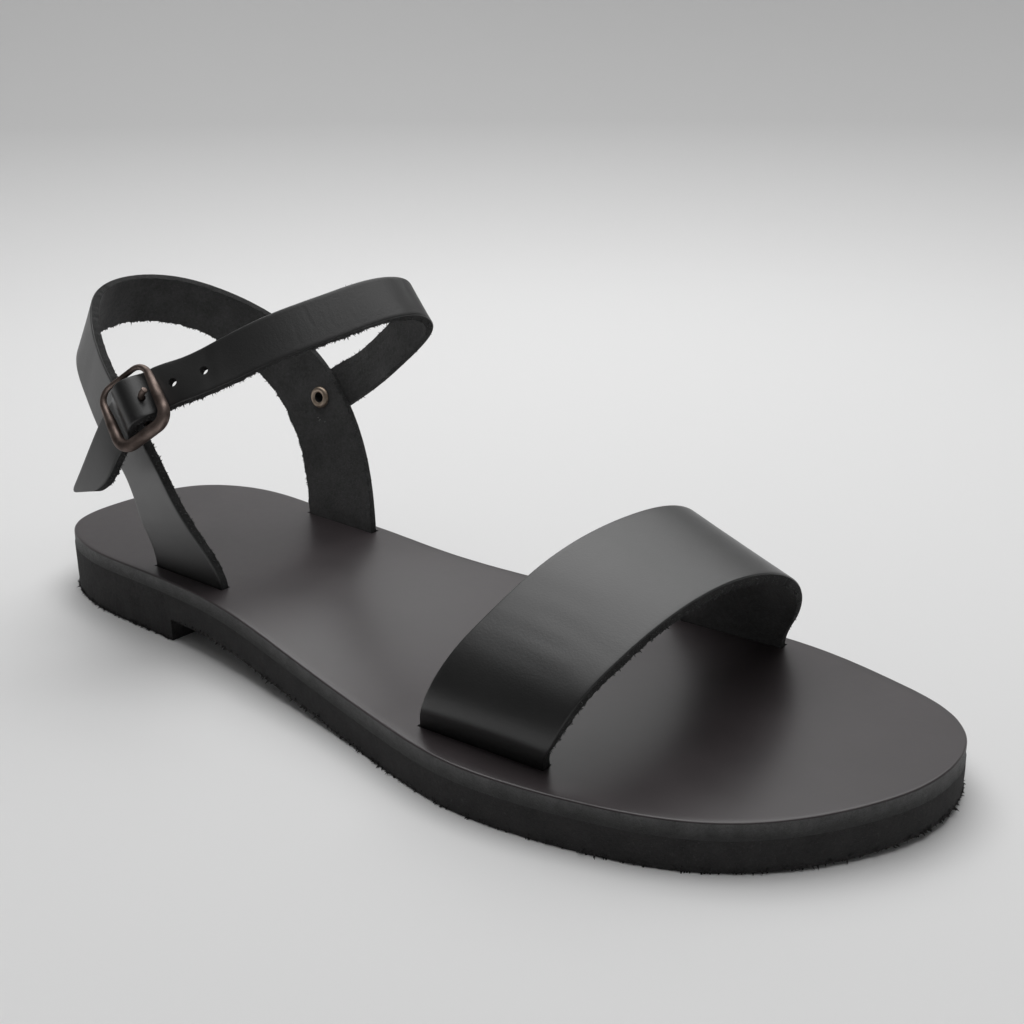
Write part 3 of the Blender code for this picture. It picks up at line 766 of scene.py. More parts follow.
def make_metal(name, dark, bright, roughness, wear):
    """Old brass: brown, with brighter worn patches scattered at random."""
    material, tree, shader, place = new_material(name)
    patches = node(tree, "TexNoise", Vector=place, Scale=190.0, Detail=3.0, Roughness=0.5)
    fine = node(tree, "TexNoise", Vector=place, Scale=2200.0, Detail=3.0)
    worn = spread(tree, patches.outputs["Fac"], 0.38 + wear, 0.66 + wear)
    tree.links.new(blend_colour(tree, worn, dark, bright), shader.inputs["Base Color"])
    dull = spread(tree, worn, 0.0, 1.0, roughness + 0.1, roughness - 0.08)
    tree.links.new(dull, shader.inputs["Roughness"])
    set_surface(shader, Metallic=1.0)
    height = maths(tree, "ADD", patches.outputs["Fac"], maths(tree, "MULTIPLY", fine.outputs["Fac"], 0.4))
    raise_bump(tree, shader, height, strength=0.12, depth=0.12)
    return material


STRAP_GRAIN = make_grain_side("strap_grain_side", tone=0.014, rosy=0.0, roughness=0.41, coat=0.34,
                              coat_roughness=0.36, relief=0.30, dust_spacing=26.0, creases=True)
STRAP_FLESH = make_flesh_side("strap_flesh_side", tone=0.066)
STRAP_EDGE = make_cut_edge("strap_cut_edge", tone=0.020, pale=0.12, roughness=0.95)
RAW_FIBRE = make_cut_edge("raw_fibre", tone=0.22, pale=0.40, roughness=0.9)
INSOLE_GRAIN = make_grain_side("insole_grain_side", tone=0.032, rosy=0.22, roughness=0.36, coat=0.22,
                               coat_roughness=0.26, relief=0.07, dust_spacing=20.0, creases=False)
# The insole's side, painted paler toward its rim as a painted highlight
INSOLE_EDGE = make_edge_with_painted_rim_highlight("insole_edge_painted_rim_highlight", dark=0.024, pale=0.075, roughness=0.60)
RUBBER = make_rubber("sole_rubber_cut", tone=0.025)
BUCKLE_METAL = make_metal("buckle_old_brass", dark=(0.095, 0.073, 0.064, 1.0),
                          bright=(0.27, 0.212, 0.187, 1.0), roughness=0.50, wear=0.0)
RIVET_METAL = make_metal("rivet_dull_brass", dark=(0.28, 0.22, 0.17, 1.0), bright=(0.55, 0.45, 0.36, 1.0),
                         roughness=0.50, wear=-0.06)
# Near-black surface for the rivet's bore: painted shade in the hole
RIVET_BORE_PAINTED_SHADE = make_rubber("rivet_bore_painted_shade", tone=0.010)


# Sole

def side_reach(x, inner):
    """Where the outline's inner or outer side lies at station x."""
    tip = OUTLINE_CURVE[:, 0].argmax()
    side = OUTLINE_CURVE[tip:] if inner else OUTLINE_CURVE[:tip + 1]
    order = side[:, 0].argsort()
    return np.interp(x, side[order, 0], side[order, 1])


def sole_sides(end, stations):
    """The outline's outer and inner side up to station end, and its outward direction at each point."""
    whole = end >= TOE_TIP[0]
    turn = math.pi if whole else math.pi / 2
    x = end * (1 - np.cos(turn * np.arange(stations + 1) / stations)) / (1 - math.cos(turn))
    outer = np.stack([x, side_reach(x, False)], axis=1)
    inner = np.stack([x, side_reach(x, True)], axis=1)
    outer[0] = inner[0] = OUTLINE_CURVE[0]
    if whole:
        outer[-1] = inner[-1] = TOE_TIP
    outward = []
    for side, turn_sign in ((outer, 1), (inner, -1)):
        along = np.gradient(side, axis=0)
        across = unit_rows(np.stack([along[:, 1], -along[:, 0]], axis=1) * turn_sign)
        across[0] = (-1, 0)
        if whole:
            across[-1] = (1, 0)
        outward.append(across)
    return (outer, inner), outward


def rough_at(points, size, seed):
    """Random values from -1 to 1 that change over about size millimetres, at points in space."""
    shift = Vector((seed * 7.3, seed * 3.1, seed * 5.7))
    return np.array([noise.noise(Vector(point) / size + shift) for point in points])


def sole_layer(name, end, stations, columns, profile, materials):
    """A sole layer extruded upward step by step; profile rows give inset, height, raggedness and its size."""
    sides, outward = sole_sides(end, stations)
    deselect()
    bpy.ops.mesh.primitive_grid_add(x_subdivisions=stations, y_subdivisions=columns, size=2)
    piece = bpy.context.object
    piece.name = name
    mesh = piece.data
    for material in materials:
        mesh.materials.append(material)
    flat = read_points(mesh)
    station_of = mesh.attributes.new("station", "INT", "POINT")
    station_of.data.foreach_set("value", np.rint((flat[:, 0] + 1) / 2 * stations).astype(np.int32))
    share_of = mesh.attributes.new("share", "FLOAT", "POINT")
    share_of.data.foreach_set("value", (flat[:, 1] + 1) / 2)

    def place_selected(inset, height, ragged, size):
        count = len(mesh.vertices)
        station = np.empty(count, np.int32)
        mesh.attributes["station"].data.foreach_get("value", station)
        share = np.empty(count, np.float32)
        mesh.attributes["share"].data.foreach_get("value", share)
        chosen = np.empty(count, bool)
        mesh.vertices.foreach_get("select", chosen)
        rims = []
        for k, (side, away) in enumerate(zip(sides, outward)):
            level = height(side[:, 0], side[:, 1])
            torn = ragged * rough_at(np.column_stack([side, level]), size, k + 1)
            kept_in = inset(side[:, 0]) if callable(inset) else inset
            rims.append(side + away * (torn - kept_in)[:, None])
        s = station[chosen]
        t = share[chosen][:, None]
        spot = rims[0][s] * (1 - t) + rims[1][s] * t
        if end < TOE_TIP[0]:
            spot[s == stations, 0] -= inset
        points = read_points(mesh)
        points[chosen] = to_metres(np.column_stack([spot, height(spot[:, 0], spot[:, 1])]))
        write_points(mesh, points)

    mesh.vertices.foreach_set("select", np.ones(len(mesh.vertices), bool))
    place_selected(*profile[0])
    edit(piece)
    bpy.ops.mesh.remove_doubles(threshold=1e-7)
    for row in profile[1:]:
        bpy.ops.mesh.extrude_region_move(TRANSFORM_OT_translate={"value": (0, 0, MM)})
        leave_edit()
        place_selected(*row)
        bpy.ops.object.mode_set(mode="EDIT")
    bpy.ops.mesh.select_all(action="SELECT")
    bpy.ops.mesh.normals_make_consistent(inside=False)
    leave_edit()
    return piece


def level_with(height, rise=0.0):
    return lambda x, y: height(x) + rise


def crumbs_along(name, side, away, low, start, span, count, seed):
    """Torn crumbs of rubber along the lower edge of a sole layer."""
    draw = np.random.default_rng(seed)
    at = draw.choice(np.flatnonzero((side[:, 0] > start) & (side[:, 0] < side[-1, 0])), count)
    base = np.column_stack([side[at], low(side[at, 0]) + draw.uniform(0.1, span, count)])
    spokes = np.column_stack([away[at], np.zeros(count)]) + draw.normal(size=(count, 3)) * 0.35
    spokes[:, 2] -= 0.35
    lengths = drawn_sizes(draw, CRUMB_LENGTH, count)
    widths = draw.uniform(*CRUMB_WIDTH, count)
    return scatter(name, base, unit_rows(spokes), lengths, widths, seed + 1, RUBBER)


def make_rubber_layer(name, part, end, stations, profile, low, crumbs):
    """One rubber layer of the sole; crumbs give their start, how high they reach, their count and seed."""
    start, span, count, seed = crumbs
    layer = sole_layer(name, end, stations, RUBBER_COLUMNS, profile, [RUBBER])
    torn = [crumbs_along(f"{part}_crumbs", side, away, low, start, span, count, seed + k)
            for k, (side, away) in enumerate(zip(*sole_sides(end, stations)))]
    join(layer, torn)
    smooth(layer, 50)
    settle(layer, part)


def floor_level(x):
    return 0.0 * x


def make_rubber_layers():
    wall = [(0.0, level_with(outsole_floor, rise), ragged, size) for rise, ragged, size in OUTSOLE_WALL]
    wall.insert(0, (lambda x: RUBBER_ROUND * (x > HEEL_BREAST), level_with(outsole_floor), 0.12, 1.2))
    wall.append((0.0, level_with(insole_floor, -LAYER_GAP), 0.10, 1.4))
    make_rubber_layer("outsole_rubber", "outsole", TOE_TIP[0], SOLE_STATIONS, wall, outsole_floor,
                      (HEEL_BREAST, 1.3, 430, 40))
    wall = [(0.0, level_with(floor_level, rise), ragged, size) for rise, ragged, size in HEEL_WALL]
    wall.insert(0, (RUBBER_ROUND, level_with(floor_level), 0.10, 1.2))
    wall.append((0.0, level_with(floor_level, HEEL_RISE - LAYER_GAP), 0.10, 1.2))
    make_rubber_layer("heel_lift_rubber", "heel_lift", HEEL_BREAST, HEEL_STATIONS, wall, floor_level,
                      (0.0, 1.2, 320, 50))


def insole_height(x, y):
    """The insole's top: level, with slight hand-worked swells."""
    swell = [noise.noise(Vector((a / 46.0, b / 38.0, 2.0))) for a, b in zip(np.ravel(x), np.ravel(y))]
    return insole_top(x) + INSOLE_SWELL * np.array(swell).reshape(np.shape(x))


def below_insole_top(drop):
    return lambda x, y: insole_height(x, y) - drop


def make_insole():
    rows = [(0.0, level_with(insole_floor), 0.10, 1.4),
            (INSOLE_INSET / 2, level_with(insole_floor, 0.4), 0.10, 1.4),
            (INSOLE_INSET, level_with(insole_floor, 1.2), 0.10, 2.2),
            (INSOLE_INSET, level_with(insole_floor, 2.2), 0.10, 2.2)]
    for degrees in (0, 20, 40, 60, 75, 90):
        lean = math.radians(degrees)
        inset = INSOLE_INSET + INSOLE_ROUND * (1 - math.cos(lean))
        drop = INSOLE_ROUND * (1 - math.sin(lean))
        rows.append((inset, below_insole_top(drop), 0.05, 4.0))
    insole = sole_layer("insole_leather", TOE_TIP[0], SOLE_STATIONS, INSOLE_COLUMNS, rows,
                        [INSOLE_GRAIN, INSOLE_EDGE])
    mesh = insole.data
    normals = np.empty(len(mesh.polygons) * 3, np.float32)
    mesh.polygons.foreach_get("normal", normals)
    upright = np.abs(normals.reshape(-1, 3)[:, 2]) < 0.45
    mesh.polygons.foreach_set("material_index", upright.astype(np.int32))
    return insole


def finish_insole(insole):
    """Marks how high each point lies above the rubber, for the painted highlight toward the side's rim, and
    hands the piece over.
    """
    mesh = insole.data
    points = read_points(mesh) / MM + ORIGIN
    rise = mesh.attributes.new("rise", "FLOAT", "POINT")
    rise.data.foreach_set("value", (points[:, 2] - insole_floor(points[:, 0])).astype(np.float32))
    smooth(insole, 35)
    settle(insole, "insole")


def slot_box(edge_a, edge_b, out, thick):
    """The slot in the insole round one strap end, from the end's two edge points."""
    along = unit((edge_a - edge_b) * np.array([1, 1, 0]))
    across = np.array([-along[1], along[0], 0.0])
    centre = to_metres((edge_a + edge_b) / 2 + across * out)
    length = np.linalg.norm((edge_a - edge_b)[:2]) + 2 * SLOT_CLEAR
    deselect()
    bpy.ops.mesh.primitive_cube_add(size=1, location=centre, rotation=(0, 0, math.atan2(along[1], along[0])))
    tool = bpy.context.object
    tool.scale = (length * MM, (thick + 2 * SLOT_CLEAR) * MM, 4 * INSOLE_THICK * MM)
    tool.data.materials.append(INSOLE_EDGE)
    bpy.ops.object.transform_apply(location=True, rotation=True, scale=True)
    return tool


# Straps

def with_slot_rows(rows):
    """The strap's rows with its two ends led straight down into the insole's slots."""
    down = np.array([0, 0, 1, 0, 0, 1])
    steps = (SLOT_DEPTH, SLOT_DEPTH / 2)
    start = [np.array(rows[0]) - depth * down for depth in steps]
    end = [np.array(rows[-1]) - depth * down for depth in reversed(steps)]
    return np.vstack([start, rows, end])


def strap_section(thick, width, columns):
    """Once round a strap's cut: share across, reach past the edge, height, fraying and face zone."""
    edge_share = EDGE_ROUND / width
    leans = [math.radians(degrees) for degrees in (25, 50, 75)]
    rim = [(EDGE_ROUND * math.sin(lean), EDGE_ROUND * (math.cos(lean) - 1)) for lean in leans]
    drops = (0.25, 0.5, 0.75)
    points = []
    for share in np.linspace(edge_share, 1 - edge_share, columns):
        points.append((share, 0.0, 0.0, 0.0, GRAIN_FACE))
    for out, height in rim:
        points.append((1 - edge_share, out, height, RIM_FRAY, GRAIN_FACE))
    points[-1] = points[-1][:4] + (CUT_FACE,)
    for drop in drops:
        points.append((1 - edge_share, EDGE_ROUND, -thick * drop, 0.3 + 0.7 * drop, CUT_FACE))
    points.append((1 - edge_share, 0.8 * EDGE_ROUND, -thick, 1.0, FLESH_FACE))
    for share in np.linspace(1 - 2 * edge_share, 2 * edge_share, columns):
        points.append((share, 0.0, -thick, 0.0, FLESH_FACE))
    points.append((edge_share, -0.8 * EDGE_ROUND, -thick, -1.0, CUT_FACE))
    for drop in reversed(drops):
        points.append((edge_share, -EDGE_ROUND, -thick * drop, -0.3 - 0.7 * drop, CUT_FACE))
    for out, height in reversed(rim):
        points.append((edge_share, -out, height, -RIM_FRAY, GRAIN_FACE))
    return [np.array(column) for column in zip(*points)]


def crease_depth(creases, along, share):
    """How far the creases press in at each row and column of a strap."""
    pressed = np.zeros((len(along), len(share)))
    for at, slant, low, high, depth, reach in creases:
        off = along[:, None] - at * along[-1] - slant * (share[None, :] - 0.5)
        window = ease((share - low) / CREASE_FADE + 0.5) * ease((high - share) / CREASE_FADE + 0.5)
        beside = np.abs(off) - RIDGE_PLACE * reach
        pressed += depth * window[None, :] * np.exp(-(off / reach) ** 2)
        pressed -= RIDGE_SHARE * depth * window[None, :] * np.exp(-(beside / reach) ** 2)
    return pressed


def strap_lay(edge_a, edge_b):
    """Rows of a strap: its middle line, its direction across and its width."""
    across = edge_b - edge_a
    width = np.linalg.norm(across, axis=1)
    return (edge_a + edge_b) / 2, across / width[:, None], width


def make_strap(name, edge_a, edge_b, thick, lift, columns, fray, creases, seed):
    """A strap between two edge curves, seen from its grain side with edge_a on the left."""
    middle, across, width = strap_lay(edge_a, edge_b)
    along = walked(middle)
    step = along[-1] / len(along)
    share, reach, height, torn, zones = strap_section(thick, width.mean(), columns)
    base = edge_a[:, None] * (1 - share[None, :, None]) + edge_b[:, None] * share[None, :, None]
    normal = unit_rows(np.cross(np.gradient(base, axis=0), across[:, None]))
    count = len(along)
    ragged = []
    for k in range(2):
        fine = wander(count, step, seed + k, FINE_FRAY)
        coarse = wander(count, step, seed + 10 + k, COARSE_FRAY)
        hand = HAND_CUT * wander(count, step, seed + 20 + k, HAND_CUT_LENGTH)
        ragged.append((fray[k] * (0.7 * fine + 0.5 * coarse) + hand)[:, None])
    shift = reach[None, :] + torn[None, :] * np.where(torn[None, :] > 0, ragged[1], ragged[0])
    face = crease_depth(creases, along, share)
    nap = NAP_DEPTH * np.array([wander(count, step, seed + 30 + k, NAP_LENGTH) for k in range(len(share))]).T
    level = lift + height[None, :] - np.where(height[None, :] > -0.1, face, 0.5 * face)
    level = level + np.where(zones[None, :] == FLESH_FACE, nap, 0.0)
    rings = base + across[:, None] * shift[..., None] + normal * level[..., None]
    ring = rings[count // 2]
    around = walked(ring)
    around = np.append(around, around[-1] + np.linalg.norm(ring[0] - ring[-1]))
    strap = loft(name, rings, zones, [STRAP_GRAIN, STRAP_FLESH, STRAP_EDGE], (along, around))
    mesh = strap.data
    corners = np.empty(len(mesh.polygons), np.int32)
    mesh.polygons.foreach_get("loop_total", corners)
    zone = np.empty(len(mesh.polygons), np.int32)
    mesh.polygons.foreach_get("material_index", zone)
    zone[corners > 4] = CUT_FACE
    mesh.polygons.foreach_set("material_index", zone)
    return strap, rings, (share, torn)


def fringe(name, rings, section, thick, runs, seed):
    """Loose fibres along a strap's flesh-side edges; runs give the side, fibres per mm, start and end."""
    share, torn = section
    draw = np.random.default_rng(seed)
    made = []
    for side, density, start, end in runs:
        line = rings[:, np.flatnonzero(torn == side)[0]]
        rise = unit_rows(rings[:, np.flatnonzero(torn == side * RIM_FRAY)[0]] - line)
        along = unit_rows(np.gradient(line, axis=0))
        away = line - rings[:, np.abs(share - 0.5).argmin()]
        away = unit_rows(away - (away * along).sum(axis=1)[:, None] * along)
        first, last = int(start * len(line)), int(end * len(line)) - 1
        count = int(density * walked(line[first:last])[-1])
        at = draw.integers(first, last, count)
        up = rise[at]
        lift = draw.uniform(0.0, 0.75 * thick, count)[:, None] * draw.integers(0, 2, count)[:, None]
        base = line[at] + up * lift
        spokes = away[at] + along[at] * draw.normal(0, 0.7, count)[:, None]
        spokes = spokes + up * draw.normal(-0.1, 0.4, count)[:, None]
        lengths = drawn_sizes(draw, FIBRE_LENGTH, count)
        widths = drawn_sizes(draw, FIBRE_WIDTH, count)
        tufts = scatter(f"{name}_{side}", base, unit_rows(spokes), lengths, widths, seed + 1, STRAP_FLESH)
        made.append(tufts)
    return made


def make_front_strap(insole):
    curve = spline(with_slot_rows(raised(FRONT_STRAP, [2, 5], FORE_TOP)), FRONT_ROWS)
    front, rear = curve[:, :3], curve[:, 3:]
    strap, rings, section = make_strap("front_strap_leather", front, rear, FRONT_THICK, 0.0, FRONT_COLUMNS,
                                       FRAY["front"], CREASES["front"], seed=100)
    tufts = fringe("front_fibres", rings, section, FRONT_THICK, FIBRE_RUNS["front"], seed=110)
    join(strap, tufts)
    smooth(strap)
    settle(strap, "front_strap")
    for end, along in ((0, front[1] - front[0]), (-1, front[-1] - front[-2])):
        normal = np.cross(along, rear[end] - front[end])
        lean = unit((front[end] - rear[end]) * np.array([1, 1, 0]))
        out = -FRONT_THICK / 2 * np.sign(np.dot(normal, [-lean[1], lean[0], 0]))
        combine(insole, slot_box(front[end], rear[end], out, FRONT_THICK), "DIFFERENCE")


def back_strap_curve(rows):
    inner = raised(BACK_STRAP, [2, 5], HEEL_TOP)
    outer = inner * np.array([1, -1, 1, 1, -1, 1])
    return spline(with_slot_rows(np.vstack([outer[:-1], inner[::-1]])), rows)


def leg_side(curve, x, z):
    """How far out the middle of the inner leg lies at x and z, and its outward normal there."""
    leg = curve[len(curve) // 2:]
    share = np.linspace(0.0, 1.0, LEG_COLUMNS)[None, :, None]
    fine = spline(leg, LEG_ROWS)
    sheet = fine[:, None, :3] * (1 - share) + fine[:, None, 3:] * share
    miss = (sheet[..., 0] - x) ** 2 + (sheet[..., 2] - z) ** 2
    i, j = np.unravel_index(miss.argmin(), miss.shape)
    i = min(max(i, 1), len(fine) - 2)
    normal = unit(np.cross(sheet[i + 1, j] - sheet[i - 1, j], sheet[i, -1] - sheet[i, 0]))
    return sheet[i, j, 1], normal * np.sign(normal[1])


def buckle_axes():
    forward = unit(BUCKLE_FORWARD)
    down = unit(BUCKLE_DOWN - np.dot(BUCKLE_DOWN, forward) * forward)
    return forward, down, np.cross(down, forward)


def in_buckle(along, down, out):
    axes = buckle_axes()
    return BUCKLE_CENTRE + along * axes[0] + down * axes[1] + out * axes[2]


def make_tongue(curve, downs, number):
    """One tongue of the outer leg's front edge, hooked round the buckle's centre bar beside the prong."""
    hook_radius = BAR_WIRE + SEAM + TONGUE_THICK / 2
    edges = []
    for down in downs:
        rows = []
        for along in TONGUE_ON_LEG:
            place = in_buckle(along, down, 0.0)
            rows.append((place[0], -leg_side(curve, place[0], place[2])[0], place[2]))
        for degrees in range(-90, 200, 20):
            angle = math.radians(degrees)
            rows.append(in_buckle(hook_radius * math.cos(angle), down,
                                  hook_radius * math.sin(angle) - BAR_DROP))
        edges.append(spline(rows, TONGUE_ROWS))
    return make_strap(f"tongue_{number}", edges[1], edges[0], TONGUE_THICK, TONGUE_THICK / 2, TONGUE_COLUMNS,
                      FRAY["tongue"], [], seed=150 + number)[0]


def nick_flecks(curve):
    """A few pale raised fibres where the far leg's inner side is nicked, under the rivet."""
    place, out = rivet_place(curve)
    draw = np.random.default_rng(220)
    base = []
    for along, down in NICK_FLECKS:
        x, z = place[0] + along, place[2] - down
        base.append(np.array([x, leg_side(curve, x, z)[0], z]) - BACK_THICK / 2 * out)
    spokes = np.array([unit(draw.normal(size=3) - 0.6 * out) for _ in base])
    lengths = [NICK_LENGTH] * len(base)
    widths = [NICK_WIDTH] * len(base)
    return scatter("nick_flecks", base, spokes, lengths, widths, 221, RAW_FIBRE)


def make_back_strap(insole):
    curve = back_strap_curve(BACK_ROWS)
    upper, lower = curve[:, :3], curve[:, 3:]
    strap, rings, section = make_strap("back_strap_leather", upper, lower, BACK_THICK, BACK_THICK / 2,
                                       BACK_COLUMNS, FRAY["back"], CREASES["back"], seed=200)
    for end in (0, -1):
        combine(insole, slot_box(upper[end], lower[end], 0.0, BACK_THICK), "DIFFERENCE")
    for number, side in enumerate((-1, 1)):
        downs = (side * PRONG_GAP / 2, side * TONGUE_WIDTH / 2)
        combine(strap, make_tongue(curve, downs, number), "UNION")
    combine(strap, rivet_rod(curve, RIVET_TUBE + SEAM), "DIFFERENCE")
    flecks = nick_flecks(curve)
    tufts = fringe("back_fibres", rings, section, BACK_THICK, FIBRE_RUNS["back"], seed=210)
    join(strap, [*tufts, flecks])
    smooth(strap)
    settle(strap, "back_strap")
    return curve


def ankle_rows(curve):
    """Rows of the ankle strap's two edges: tail, buckle, loop and riveted end."""
    rows = list(raised(ANKLE_TAIL, [2, 5], HEEL_TOP))
    for along, down, out in ANKLE_IN_BUCKLE:
        edges = [in_buckle(along, down + side * ANKLE_WIDTH / 2, out) for side in (-1, 1)]
        rows.append(np.concatenate(edges))
    for x, y, z, back, inward in raised(ANKLE_LOOP, 2, HEEL_TOP):
        up = math.sqrt(ANKLE_WIDTH ** 2 - back ** 2 - inward ** 2)
        middle = np.array([x, y, z])
        half = np.array([-back, inward, up]) / 2
        rows.append(np.concatenate([middle + half, middle - half]))
    off = BACK_THICK / 2 + ANKLE_LEG_GAP + ANKLE_THICK / 2
    height = math.sqrt(ANKLE_WIDTH ** 2 - ANKLE_LEG_BACK ** 2)
    for x, z in raised(ANKLE_ON_LEG, 1, HEEL_TOP):
        edges = []
        for side in (0.5, -0.5):
            at_x, at_z = x - side * ANKLE_LEG_BACK, z + side * height
            reach, normal = leg_side(curve, at_x, at_z)
            edges.append(np.array([at_x, reach, at_z]) + off * normal)
        rows.append(np.concatenate(edges))
    return np.array(rows)


def rod(start, end, radius, material):
    """A round punch between two points."""
    start, end = to_metres(start), to_metres(end)
    lean = Vector(end - start).to_track_quat("Z", "Y").to_euler()
    deselect()
    bpy.ops.mesh.primitive_cylinder_add(vertices=40, radius=radius * MM, depth=np.linalg.norm(end - start),
                                        location=(start + end) / 2, rotation=lean)
    tool = bpy.context.object
    tool.data.materials.append(material)
    bpy.ops.object.transform_apply(location=True, rotation=True, scale=True)
    return tool


def rivet_place(curve):
    x, z = raised(ANKLE_ON_LEG, 1, HEEL_TOP)[1]
    reach, normal = leg_side(curve, x, z)
    return np.array([x, reach, z]), normal


def rivet_rod(curve, radius):
    place, out = rivet_place(curve)
    reach = 2 * (BACK_THICK + ANKLE_THICK) * out
    return rod(place - reach, place + reach, radius, STRAP_EDGE)


def round_corner(edge, other, radius):
    """The edge drawn in toward the other edge by a rounded corner at its start."""
    left = np.clip(radius - walked(edge), 0.0, radius)
    inset = radius - np.sqrt(radius ** 2 - left ** 2)
    return edge + inset[:, None] * strap_lay(edge, other)[1]


def make_ankle_strap(curve):
    edges = spline(ankle_rows(curve), ANKLE_ROWS)
    upper, lower = edges[:, :3], edges[:, 3:]
    lower, upper = (round_corner(lower, upper, TAIL_LOWER_CORNER),
                    round_corner(upper, lower, TAIL_UPPER_CORNER))
    strap, rings, section = make_strap("ankle_strap_leather", lower, upper, ANKLE_THICK, ANKLE_THICK / 2,
                                       ANKLE_COLUMNS, FRAY["ankle"], CREASES["ankle"], seed=300)
    middle, across, _ = strap_lay(lower, upper)
    along = walked(middle)
    normal = unit_rows(np.cross(np.gradient(middle, axis=0), across))
    prong_at = in_buckle(PRONG_REACH[1][0], 0.0, 0.0)
    first = along[np.linalg.norm(middle - prong_at, axis=1).argmin()]
    for step in (1, 2):
        i = np.abs(along - first - step * HOLE_SPACING).argmin()
        reach = 1.5 * ANKLE_THICK * normal[i]
        combine(strap, rod(middle[i] - reach, middle[i] + reach, HOLE_RADIUS, STRAP_EDGE), "DIFFERENCE")
    combine(strap, prong_wire("prong_hole", PRONG_FILED + PRONG_CLEAR, STRAP_EDGE), "DIFFERENCE")
    combine(strap, rivet_rod(curve, RIVET_TUBE + SEAM), "DIFFERENCE")
    tufts = fringe("ankle_fibres", rings, section, ANKLE_THICK, FIBRE_RUNS["ankle"], seed=310)
    join(strap, tufts)
    smooth(strap)
    settle(strap, "ankle_strap")


# Buckle and rivet

def wire_rings(path, axis, radius, sides, closed=False):
    """Rings of a wire along a path; axis is the direction that all of its sections hold."""
    if closed:
        along = np.roll(path, -1, axis=0) - np.roll(path, 1, axis=0)
    else:
        along = np.gradient(path, axis=0)
    across = unit_rows(np.cross(along, axis))
    over = unit_rows(np.cross(across, along))
    angle = 2 * np.pi * np.arange(sides) / sides
    radius = np.broadcast_to(radius, len(path))[:, None, None]
    ring = np.cos(angle)[None, :, None] * across[:, None] + np.sin(angle)[None, :, None] * over[:, None]
    return path[:, None] + radius * ring


def rounded_rectangle(along, across, corner, steps):
    """Points round a rectangle with arcs at its corners, at even steps, as along and across distances."""
    points = []
    for side_a, side_b, start in ((1, 1, 0), (-1, 1, 90), (-1, -1, 180), (1, -1, 270)):
        for k in range(25):
            angle = math.radians(start + 90 * k / 24)
            points.append((side_a * (along / 2 - corner) + corner * math.cos(angle),
                           side_b * (across / 2 - corner) + corner * math.sin(angle)))
    points = np.array(points + points[:1])
    at = walked(points)
    read = np.linspace(0, at[-1], steps, endpoint=False)
    return np.stack([np.interp(read, at, points[:, k]) for k in range(2)], axis=1)


def make_buckle_frame():
    forward, _, out = buckle_axes()
    flat = rounded_rectangle(FRAME_ALONG, FRAME_ACROSS, FRAME_CORNER, steps=160)
    path = np.array([in_buckle(a, d, 0.0) for a, d in flat])
    swell = np.interp(flat[:, 1] / (FRAME_ACROSS / 2), (-1.0, 0.0, 1.0), FRAME_SWELL)
    rings = wire_rings(path, out, FRAME_WIRE * swell, sides=24, closed=True)
    casting = loft("buckle_frame_cast", rings, closed=True)
    casting.data.materials.append(BUCKLE_METAL)
    half = FRAME_ACROSS / 2
    arm = [(half, 0.0), (half - BAR_SETBACK / 4, -BAR_DROP / 2), (half - BAR_SETBACK, -BAR_DROP)]
    rows = [(-down, out_by) for down, out_by in arm] + [(0.0, -BAR_DROP)] + arm[::-1]
    bar_path = np.array([in_buckle(0.0, down, out_by) for down, out_by in rows])
    bar = loft("centre_bar", wire_rings(bar_path, forward, BAR_WIRE, sides=16))
    bar.data.materials.append(BUCKLE_METAL)
    combine(casting, bar, "UNION")
    smooth(casting, 50)
    settle(casting, "buckle_frame")


def prong_wire(name, radius, material):
    ring_radius = BAR_WIRE + SEAM + PRONG_WIRE
    rows = []
    for degrees in range(-20, -281, -20):
        angle = math.radians(degrees)
        rows.append(in_buckle(ring_radius * math.cos(angle), 0.0, ring_radius * math.sin(angle) - BAR_DROP))
    rows += [in_buckle(along, 0.0, out) for along, out in PRONG_REACH]
    path = spline(rows, PRONG_ROWS)
    wire = loft(name, wire_rings(path, buckle_axes()[1], radius, sides=20))
    wire.data.materials.append(material)
    return wire


def make_prong():
    prong = prong_wire("buckle_prong_wire", PRONG_FILED, BUCKLE_METAL)
    step = prong.modifiers.new("soft_ends", "BEVEL")
    step.width = 0.35 * MM
    step.segments = 4
    step.limit_method = "ANGLE"
    step.angle_limit = math.radians(60)
    apply_step(prong, step)
    smooth(prong, 50)
    settle(prong, "buckle_prong")


def make_rivet(curve):
    """A hollow tube rivet with rolled lips, on the leg's inside and the ankle strap's outside."""
    place, out = rivet_place(curve)
    inner_seat = -BACK_THICK / 2 - SEAM
    outer_seat = BACK_THICK / 2 + ANKLE_LEG_GAP + ANKLE_THICK + SEAM
    roll = (RIVET_FLANGE - RIVET_BORE) / 2

    def lip(seat, lift, sweep):
        leans = [math.radians(degrees) for degrees in sweep]
        return [(RIVET_BORE + roll + roll * math.cos(lean), seat + lift * math.sin(lean)) for lean in leans]

    profile = lip(outer_seat, RIVET_LIP, range(180, -1, -15))
    profile += [(RIVET_TUBE, outer_seat), (RIVET_TUBE, inner_seat)]
    profile += lip(inner_seat, -RIVET_LIP, range(0, 181, 15))
    side = unit(np.cross(out, np.array([0.0, 0.0, 1.0])))
    over = np.cross(out, side)
    rings = []
    for k in range(RIVET_STEPS):
        angle = 2 * math.pi * k / RIVET_STEPS
        spoke = math.cos(angle) * side + math.sin(angle) * over
        rings.append([place + radius * spoke + height * out for radius, height in profile])
    # The bore and the inner turn of the lips take the near-black surface: painted shade in the hole.
    zones = [int(radius < RIVET_BORE + 0.3 * roll) for radius, _ in profile]
    rivet = loft("rivet_rolled", np.array(rings), zones, [RIVET_METAL, RIVET_BORE_PAINTED_SHADE], closed=True)
    smooth(rivet, 50)
    settle(rivet, "rivet")


# Stage

